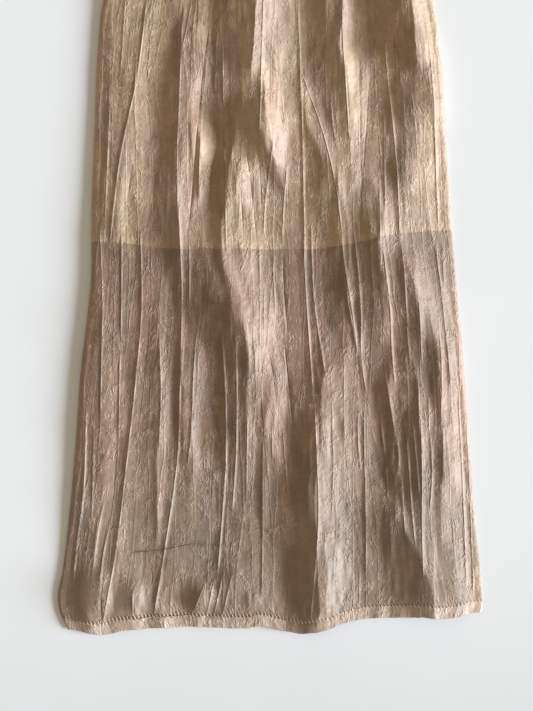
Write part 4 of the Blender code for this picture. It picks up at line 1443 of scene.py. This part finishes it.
# ---- the pieces --------------------------------------------------------------------------------------
@dataclass(frozen=True)
class FrontPanel:
    """The front of the skirt: one crinkled sheet from the turned hem to the waistband, in metres.

    first is the lowest row's distance above the edge, near the depth of the close rows and pack how they
    close up. The hem is calmed and pulled in at its stitches, ruffled below them, and the top is gathered.
    """

    form: SkirtForm
    crinkle: Crinkle
    columns: int = 560
    side_columns: int = 8
    hem_turn: float = HEM_TURN
    hem_gap: float = 0.0009
    hem_rows: int = 26
    body_rows: int = 142
    first: float = 0.0004
    near: float = 0.040
    pack: float = 1.25
    hem_share: float = 0.30
    hem_reach: float = 0.022
    groove: float = 0.0006
    groove_width: float = 0.0022
    ruffle: Noise = Noise(0.013, 0.05, (40.0, 2.0), 51, 0.0022)
    ruffle_depth: float = 0.020
    gather_width: float = 0.0040
    gather_rise: float = 0.0011
    gather_noise: Noise = Noise(0.02, 0.05, (9.0, 0.0), 52)
    gather_wander: float = 2.5
    gather_zone: Range = (0.83, 0.07)
    least_height: float = 0.0024
    over_lining: float = 0.0020
    lining_slope: float = 0.010
    turn_depths: tuple[float, ...] = (HEM_TURN, 0.0095, 0.0045, 0.0006)
    turn_slope: float = 0.8
    edge_drop: float = 0.0003
    turn_least: float = 0.0013
    dye_seed: int = 61
    edge_shift: Noise = Noise(0.008, 0.3, (15.0, 2.0), 62, 0.0022)
    side_light_width: float = 0.018
    line_reach: float = 2.8
    stored_reach: float = 14.0
    cut: Range = (0.69, 0.93)
    cut_area: float = 0.56

    def from_hem_grid(self, share: Array) -> Array:
        """Distances from the hem, [row][column]: rows follow the hem's line at the bottom and end level."""
        low = self.first + self.near * np.linspace(0.0, 1.0, self.hem_rows) ** self.pack
        near = self.form.hem_line(share * self.form.hem_span)[None, :] + low[:, None]
        rest = ((np.arange(self.body_rows) + 1.0) / self.body_rows)[:, None]
        return np.concatenate([near, near[-1:] + (self.form.band_start - near[-1:]) * rest], axis=0)

    def relief(self, across: Array, from_hem: Array, above_edge: Array) -> Array:
        """The crinkle on the front, drawn in at the stitched hem and gathered at the waistband."""
        above_stitches = above_edge - self.hem_turn
        hem_calm = self.hem_share + (1.0 - self.hem_share) * smooth_step(above_stitches / self.hem_reach)
        groove = -self.groove * np.exp(-((above_stitches / self.groove_width) ** 2))
        ruffle = self.ruffle.swing(across, above_edge) * np.exp(-above_edge / self.ruffle_depth)
        wander = self.gather_wander * self.gather_noise.at(across, from_hem)
        gathers = self.gather_rise * np.sin(across / self.gather_width + wander)
        gathers = gathers * smooth_step((from_hem - self.gather_zone[0]) / self.gather_zone[1])
        return self.crinkle.at(self.form, across, from_hem) * hem_calm + groove + ruffle + gathers

    def sheet(self) -> tuple[Array, Array, dict[str, Array]]:
        """The grid of points, its own coordinates and the values that the cloth's finish reads."""
        share = np.linspace(-1.0, 1.0, self.columns)
        from_hem = self.from_hem_grid(share)
        across = share * (self.form.half_width(share, from_hem) - self.form.side_roll)
        above_edge = from_hem - from_hem[:1] + self.first
        smooth = self.form.front_height(across + self.crinkle.raggedness(across, from_hem), from_hem)
        height = smooth + self.relief(across, from_hem, above_edge)
        lined = smooth_step(self.form.above_lining(across, from_hem) / self.lining_slope)
        height = np.maximum(height, self.least_height + self.over_lining * lined)
        grids = (across, from_hem, height, above_edge)
        return self.with_hem(*self.form.with_sides(grids, self.form.side_roll, self.side_columns))

    def with_hem(
        self, across: Array, from_hem: Array, height: Array, above_edge: Array
    ) -> tuple[Array, Array, dict[str, Array]]:
        """Adds the turned-up hem under the sheet: round the edge and back for the depth of the turning.

        Args:
            across: distance from the middle line, in metres, as are the others: [row][column].
            from_hem: distance from the hem's lowest point.
            height: height of the sheet.
            above_edge: distance above the hem's own edge.

        Returns:
            The points, the sheet's own coordinates and the values that the cloth's finish reads.
        """
        depths = np.array(self.turn_depths)[:, None]
        lowest = from_hem[:1] - above_edge[:1]
        slope_row = 6
        slope = (height[slope_row] - height[0]) / (above_edge[slope_row] - above_edge[0])
        under = height[:1] - self.hem_gap + self.turn_slope * slope * depths
        height = np.concatenate([under, height[:1] - self.hem_gap / 2.0, height], axis=0)
        height = np.maximum(height, self.turn_least)
        from_hem = np.concatenate([lowest + depths, lowest - self.edge_drop, from_hem], axis=0)
        above_edge = np.concatenate([-depths + 0.0 * lowest, 0.0 * lowest, above_edge], axis=0)
        across = np.concatenate([np.repeat(across[:1], len(depths) + 1, axis=0), across], axis=0)
        cloth = self.crinkle.cloth_across(self.form, across, from_hem)
        inside = self.form.half_width(across, from_hem) - np.abs(across)
        layers = {
            "above_lining": self.form.above_lining(across, from_hem) + self.edge_shift.swing(cloth, from_hem),
            "raised": self.crinkle.raised(cloth, from_hem, self.dye_seed),
            "crinkled": np.clip(self.crinkle.strength(across, from_hem), 0.0, 1.0),
            # painted light: 1 at the side edges, fading out over the first 18 mm inside them
            "side_painted_light": 1.0 - smooth_step(inside / self.side_light_width),
        }
        for kind, creases, reach in (
            ("line", self.crinkle.placed, self.line_reach),
            ("cross", self.crinkle.stored, self.stored_reach),
        ):
            layers[f"{kind}_offset"], layers[f"{kind}_rise"] = nearest_line(creases, across, from_hem, reach)
        return self.form.place(across, from_hem, height), np.stack([cloth, above_edge], axis=-1), layers

    def build(self, material: bpy.types.Material) -> None:
        """Makes the sheet: a flared panel, 0.69 m at the hem before it was crinkled."""
        piece = grid_object("front_cloth", *self.sheet())
        finish_piece(piece, material, "sheer_crinkle", "front_panel")


@dataclass(frozen=True)
class BackPanel:
    """The back of the skirt, in metres: pressed flat, its edges curling up to the side seams."""

    form: SkirtForm
    crinkle: Crinkle
    columns: int = 200
    rows: int = 220
    side_columns: int = 4
    hem_inset: float = 0.006
    curl: float = 0.0023
    lowest: float = 0.0003
    pressed_off: float = 0.00025
    press: float = 0.22
    crinkled: float = 0.5
    dye_seed: int = 63
    cut: Range = (0.69, 0.93)
    cut_area: float = 0.56

    def build(self, material: bpy.types.Material) -> None:
        """Makes the sheet, facing down, with the crinkle pressed nearly flat.

        Args:
            material: the cloth's finish.
        """
        share = np.linspace(-1.0, 1.0, self.columns)
        edge = self.form.hem.at(share * self.form.hem_span)[None, :] + self.hem_inset
        from_hem = edge + (self.form.band_start - edge) * np.linspace(0.0, 1.0, self.rows)[:, None]
        across = share * (self.form.half_width(share, from_hem) - self.curl)
        relief = self.press * self.crinkle.at(self.form, -across, from_hem)
        height = self.lowest + np.maximum(relief + self.pressed_off, 0.0)
        grids = self.form.with_sides((across, from_hem, height), self.curl, self.side_columns)
        across, from_hem, height = (grid[:, ::-1] for grid in grids)
        cloth = self.crinkle.cloth_across(self.form, -across, from_hem)
        layers = {
            "above_lining": self.form.above_lining(-across, from_hem),
            "raised": self.crinkle.raised(cloth, from_hem, self.dye_seed),
            "crinkled": np.full(cloth.shape, self.crinkled),
        }
        uv = np.stack([cloth, from_hem - edge.min()], axis=-1)
        piece = grid_object("back_cloth", self.form.place(across, from_hem, height), uv, layers)
        finish_piece(piece, material, "sheer_crinkle", "back_panel")


@dataclass(frozen=True)
class Lining:
    """The short lining, in metres: a front sheet with some of the front's height and a flat back sheet.

    share is the part of the front's height that the front sheet takes, top_share the same at the waistband,
    and under_walls the walls of cloth left free above it.
    """

    form: SkirtForm
    crinkle: Crinkle
    inset: float = 0.011
    roll: float = 0.009
    share: float = 0.55
    top_share: float = 0.97
    top_zone: Range = (0.84, 0.06)
    under_walls: float = 1.45
    gap: float = 0.0003
    sink: float = 0.0006
    lowest: float = 0.0036
    least_front: float = 0.0044
    below_front: float = 0.0012
    columns: int = 120
    rows: int = 90
    line_span: float = 0.232
    top_gap: float = 0.0006
    hem_drop: float = 0.001
    front_edge: float = 0.0024
    front_crumple: Noise = Noise(0.012, 0.08, (50.0, 0.0), 72)
    front_rise: float = 0.0006
    back_height: float = 0.0018
    back_crumple: Noise = Noise(0.012, 0.06, (50.0, 0.0), 71)
    back_rise: float = 0.0004
    cut: Range = (0.50, 0.42)

    def front_height(self, across: Array, from_hem: Array) -> Array:
        """Height of the front lining: a share of the front's height, less in the front's broad furrows.

        It stays below_front under the front's real surface.

        Args:
            across: distance from the middle line, in metres.
            from_hem: distance from the hem's lowest point, in metres.

        Returns:
            Heights in metres.
        """
        smooth = self.form.front_height(across + self.crinkle.raggedness(across, from_hem), from_hem)
        furrow = np.minimum(self.crinkle.broad_at(across, from_hem), 0.0)
        under = smooth + furrow - self.under_walls * self.form.front_wall - self.gap
        top = smooth_step((from_hem - self.top_zone[0]) / self.top_zone[1])
        share = self.share + (self.top_share - self.share) * top
        height = self.lowest + share * np.maximum(under - self.lowest, 0.0) - self.sink
        front = smooth + self.crinkle.at(self.form, across, from_hem)
        return np.minimum(height, np.maximum(front, self.least_front) - self.below_front)

    def build_one(self, name: str, node: str, material: bpy.types.Material, flat: bool) -> None:
        """Makes one of the two sheets. The front one rolls down at its sides like a quarter circle.

        Args:
            name: the sheet's name.
            node: the solid that it stands for.
            material: the lining's finish.
            flat: True for the back sheet.
        """
        share = np.linspace(-1.0, 1.0, self.columns)[None, :]
        steps = np.linspace(0.0, 1.0, self.rows)[:, None]
        start = self.form.lining_edge.at(share * self.line_span) - self.hem_drop
        from_hem = start + (self.form.band_start - self.top_gap - start) * steps
        side = self.form.half_width(share, from_hem) - self.inset
        across = share * side
        if flat:
            height = self.back_height + self.back_rise * self.back_crumple.at(across, from_hem)
        else:
            distance = np.clip((side - np.abs(across)) / self.roll, 0.0, 1.0)
            crumple = self.front_rise * self.front_crumple.at(across, from_hem)
            dome = np.sqrt(1.0 - (1.0 - distance) ** 2)
            above = self.front_height(across, from_hem) - crumple - self.front_edge
            height = self.front_edge + above * dome
        points = self.form.place(across, from_hem, height)
        piece = grid_object(name, points, np.stack([across, from_hem], axis=-1))
        finish_piece(piece, material, "lining_satin", node)

    def build(self, material: bpy.types.Material) -> None:
        """Makes both sheets."""
        self.build_one("lining_front_cloth", "lining_front", material, flat=False)
        self.build_one("lining_back_cloth", "lining_back", material, flat=True)


@dataclass(frozen=True)
class Casing:
    """One half of the waistband, in metres: heights of its underside, top and gathers, and its seed."""

    name: str
    node: str
    low: float
    high: float
    rise: float
    seed: int


@dataclass(frozen=True)
class Waistband:
    """The gathered casing over elastic, in two flattened tubes that lie on each other, in metres.

    blunt_ends says how squarely the tubes end, stitch_rows where the casing is stitched, from its middle.
    """

    form: SkirtForm
    columns: int = 300
    around: int = 28
    casings: tuple[Casing, ...] = (
        Casing("waistband_front_cloth", "waistband_front", 0.0050, 0.0084, 0.0009, 81),
        Casing("waistband_back_cloth", "waistband_back", 0.0002, 0.0045, 0.0003, 82),
    )
    gathers: int = 46
    uneven: float = 2.6
    uneven_pace: float = 22.0
    twist: float = 0.25
    blunt_ends: int = 30
    end_height: float = 0.2
    corner: Range = (0.35, 0.5)
    margin: float = 0.0002
    side_gap: float = 0.0006
    stitch_rows: Range = (-0.011, 0.011)
    stitch_depth: float = 0.0006
    stitch_width: float = 0.0012
    cloth_around: float = 0.011
    crinkled: float = 0.6
    cut: Range = (0.46, 0.078)

    def tube(self, casing: Casing) -> bpy.types.Object:
        """A flattened tube across the skirt: a rounded oblong section, ruffled by the gathers.

        A section's point is at |cos t|^0.35 of half the band's height and |sin t|^0.5 of half its thickness,
        signs kept. The gathers are a sine along the band that adds to its top.

        Args:
            casing: the half of the waistband.

        Returns:
            The new object.
        """
        share = np.linspace(-1.0, 1.0, self.columns)[None, :]
        turn = (np.arange(self.around + 1) / self.around * 2.0 * math.pi)[:, None]
        cosine, sine = np.cos(turn), np.sin(turn)
        top = np.clip(sine, 0.0, 1.0)
        ends = np.sqrt(np.clip(1.0 - np.abs(share) ** self.blunt_ends, 0.0, 1.0))
        middle = (self.form.band_start + self.form.length) / 2.0
        reach = self.form.band_height / 2.0 - self.margin
        reach = reach * (self.end_height + (1.0 - self.end_height) * ends)
        from_hem = middle - reach * np.sign(cosine) * np.abs(cosine) ** self.corner[0]
        across = share * (self.form.half_width(share, from_hem) - self.side_gap)
        uneven = self.uneven * Noise(1.0 / self.uneven_pace, 1.0, (30.0, 0.5), casing.seed).at(share)
        wave = np.sin(share * self.gathers * math.pi + uneven + self.twist * sine)
        thick = (casing.high - casing.low) / 2.0 * ends
        height = (casing.low + casing.high) / 2.0 + thick * np.sign(sine) * np.abs(sine) ** self.corner[1]
        height = height + casing.rise * wave * top**0.5 * ends
        away = [(from_hem - middle - row) / self.stitch_width for row in self.stitch_rows]
        stitched = self.stitch_depth * sum(np.exp(-(row * row)) for row in away)
        height = np.maximum(height - stitched * top, self.margin)
        points = self.form.place(across, from_hem, height)
        uv = np.stack(np.broadcast_arrays(across, turn * self.cloth_around), axis=-1)
        layers = {
            "above_lining": np.full(across.shape, -1.0),
            "raised": 0.5 + 0.5 * wave,
            "crinkled": np.full(across.shape, self.crinkled),
        }
        return grid_object(casing.name, points, uv, layers)

    def build(self, material: bpy.types.Material) -> None:
        """Makes the front and back casings."""
        for casing in self.casings:
            piece = self.tube(casing)
            finish_piece(piece, material, "waistband_cloth", casing.node)


@dataclass(frozen=True)
class Stitching:
    """The row of machine stitches along the hem, in metres: slanting ticks, longer on the left."""

    front: FrontPanel
    width: float = 0.526
    pitch: float = STITCH_PITCH
    slant: float = STITCH_SLANT
    phase: float = 0.25
    lift: float = 0.0005
    radius: float = 0.00029
    above_turn: float = 0.0012
    scatter: float = 0.0003
    half_length: float = 0.0021
    shorter: float = 0.0009
    shorter_zone: Range = (-0.05, 0.11)
    length_scatter: Range = (0.8, 1.2)
    seed: int = 91

    def surface(self, across: Array, above_edge: Array) -> Array:
        """Points on the front cloth at a distance above the hem's edge."""
        form = self.front.form
        from_hem = form.hem_line(across) + above_edge
        height = form.front_height(across, from_hem) + self.front.relief(across, from_hem, above_edge)
        return form.place(across, from_hem, height)

    def build(self, material: bpy.types.Material) -> None:
        """Makes the stitches on the crests of the puckers.

        Args:
            material: the thread's finish.
        """
        count = int(self.width / self.pitch)
        across = (np.arange(count) - count // 2 + self.phase) * self.pitch - self.slant * self.front.hem_turn
        rng = np.random.default_rng(self.seed)
        above = self.front.hem_turn + self.above_turn + rng.normal(0.0, self.scatter, count)
        half = self.half_length
        half = half - self.shorter * smooth_step((across - self.shorter_zone[0]) / self.shorter_zone[1])
        half = half * rng.uniform(*self.length_scatter, count)
        starts = self.surface(across - self.slant * half, above + half)
        ends = self.surface(across + self.slant * half, above - half)
        piece = thread_object("hem_stitches", starts, ends, self.lift, self.radius)
        finish_piece(piece, material, "sheer_crinkle")


# ---- floor, light and camera -------------------------------------------------------------------------
@dataclass(frozen=True)
class Studio:
    """A pale floor, a broad low light from the right and soft light from all round, seen from above.

    Metres and degrees; the frame is the camera's picture on the floor.
    """

    frame_centre: Range = (-0.0046, -0.1081)
    frame_height: float = 0.9243
    camera_height: float = 1.9
    sensor: float = 36.0
    far: float = 50.0
    floor_size: float = 8.0
    floor_drop: float = 0.0004
    key_elevation: float = 15.5
    key_bearing: float = -8.0
    key_spread: float = 26.0
    key_strength: float = 7.5
    key_tone: tuple[float, float, float] = (0.94, 1.0, 1.07)
    fill_tone: tuple[float, float, float] = (1.0, 0.83, 0.61)
    fill_strength: float = 0.41

    def build_floor(self, material: bpy.types.Material) -> None:
        """A flat square just under the skirt."""
        half = self.floor_size / 2.0
        corners = [(-half, -half), (half, -half), (half, half), (-half, half)]
        mesh = bpy.data.meshes.new("floor")
        mesh.from_pydata([(x, y, -self.floor_drop) for x, y in corners], [], [(0, 1, 2, 3)])
        mesh.materials.append(material)
        floor = bpy.data.objects.new("floor", mesh)
        bpy.context.scene.collection.objects.link(floor)

    def build_light(self) -> None:
        """The low key light from the right, and the world's soft fill."""
        up, bearing = math.radians(self.key_elevation), math.radians(self.key_bearing)
        towards = Vector((math.cos(up) * math.cos(bearing), math.cos(up) * math.sin(bearing), math.sin(up)))
        lamp = bpy.data.lights.new("window", "SUN")
        lamp.angle = math.radians(self.key_spread)
        lamp.energy = self.key_strength
        lamp.color = self.key_tone
        key = bpy.data.objects.new("window", lamp)
        key.location = towards
        key.rotation_euler = towards.to_track_quat("Z", "Y").to_euler()
        bpy.context.scene.collection.objects.link(key)
        world = bpy.data.worlds.new("room")
        world.use_nodes = True
        background = world.node_tree.nodes["Background"]
        background.inputs["Color"].default_value = (*self.fill_tone, 1.0)
        background.inputs["Strength"].default_value = self.fill_strength
        bpy.context.scene.world = world
        bpy.context.scene.view_settings.view_transform = "Standard"

    def build_camera(self) -> None:
        """Straight above the skirt's lower part, framed by the long side of the picture."""
        lens = bpy.data.cameras.new("camera")
        lens.sensor_width = self.sensor
        lens.lens = self.sensor * self.camera_height / self.frame_height
        lens.clip_end = self.far
        camera = bpy.data.objects.new("camera", lens)
        camera.location = (*self.frame_centre, self.camera_height)
        bpy.context.scene.collection.objects.link(camera)
        bpy.context.scene.camera = camera


def main() -> None:
    """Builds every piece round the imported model."""
    logging.basicConfig(level=logging.INFO, format="%(name)s %(message)s")
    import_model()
    studio = Studio()
    studio.build_camera()
    studio.build_floor(PaintedBoard().material())
    studio.build_light()
    form = SkirtForm()
    crinkle = Crinkle()
    sheer = CrinkledSheer().material()
    satin = LiningSatin().material()
    thread = SewingThread().material()
    front = FrontPanel(form, crinkle)
    front.build(sheer)
    BackPanel(form, crinkle).build(sheer)
    Lining(form, crinkle).build(satin)
    Waistband(form).build(sheer)
    Stitching(front).build(thread)


if __name__ == "__main__":
    main()
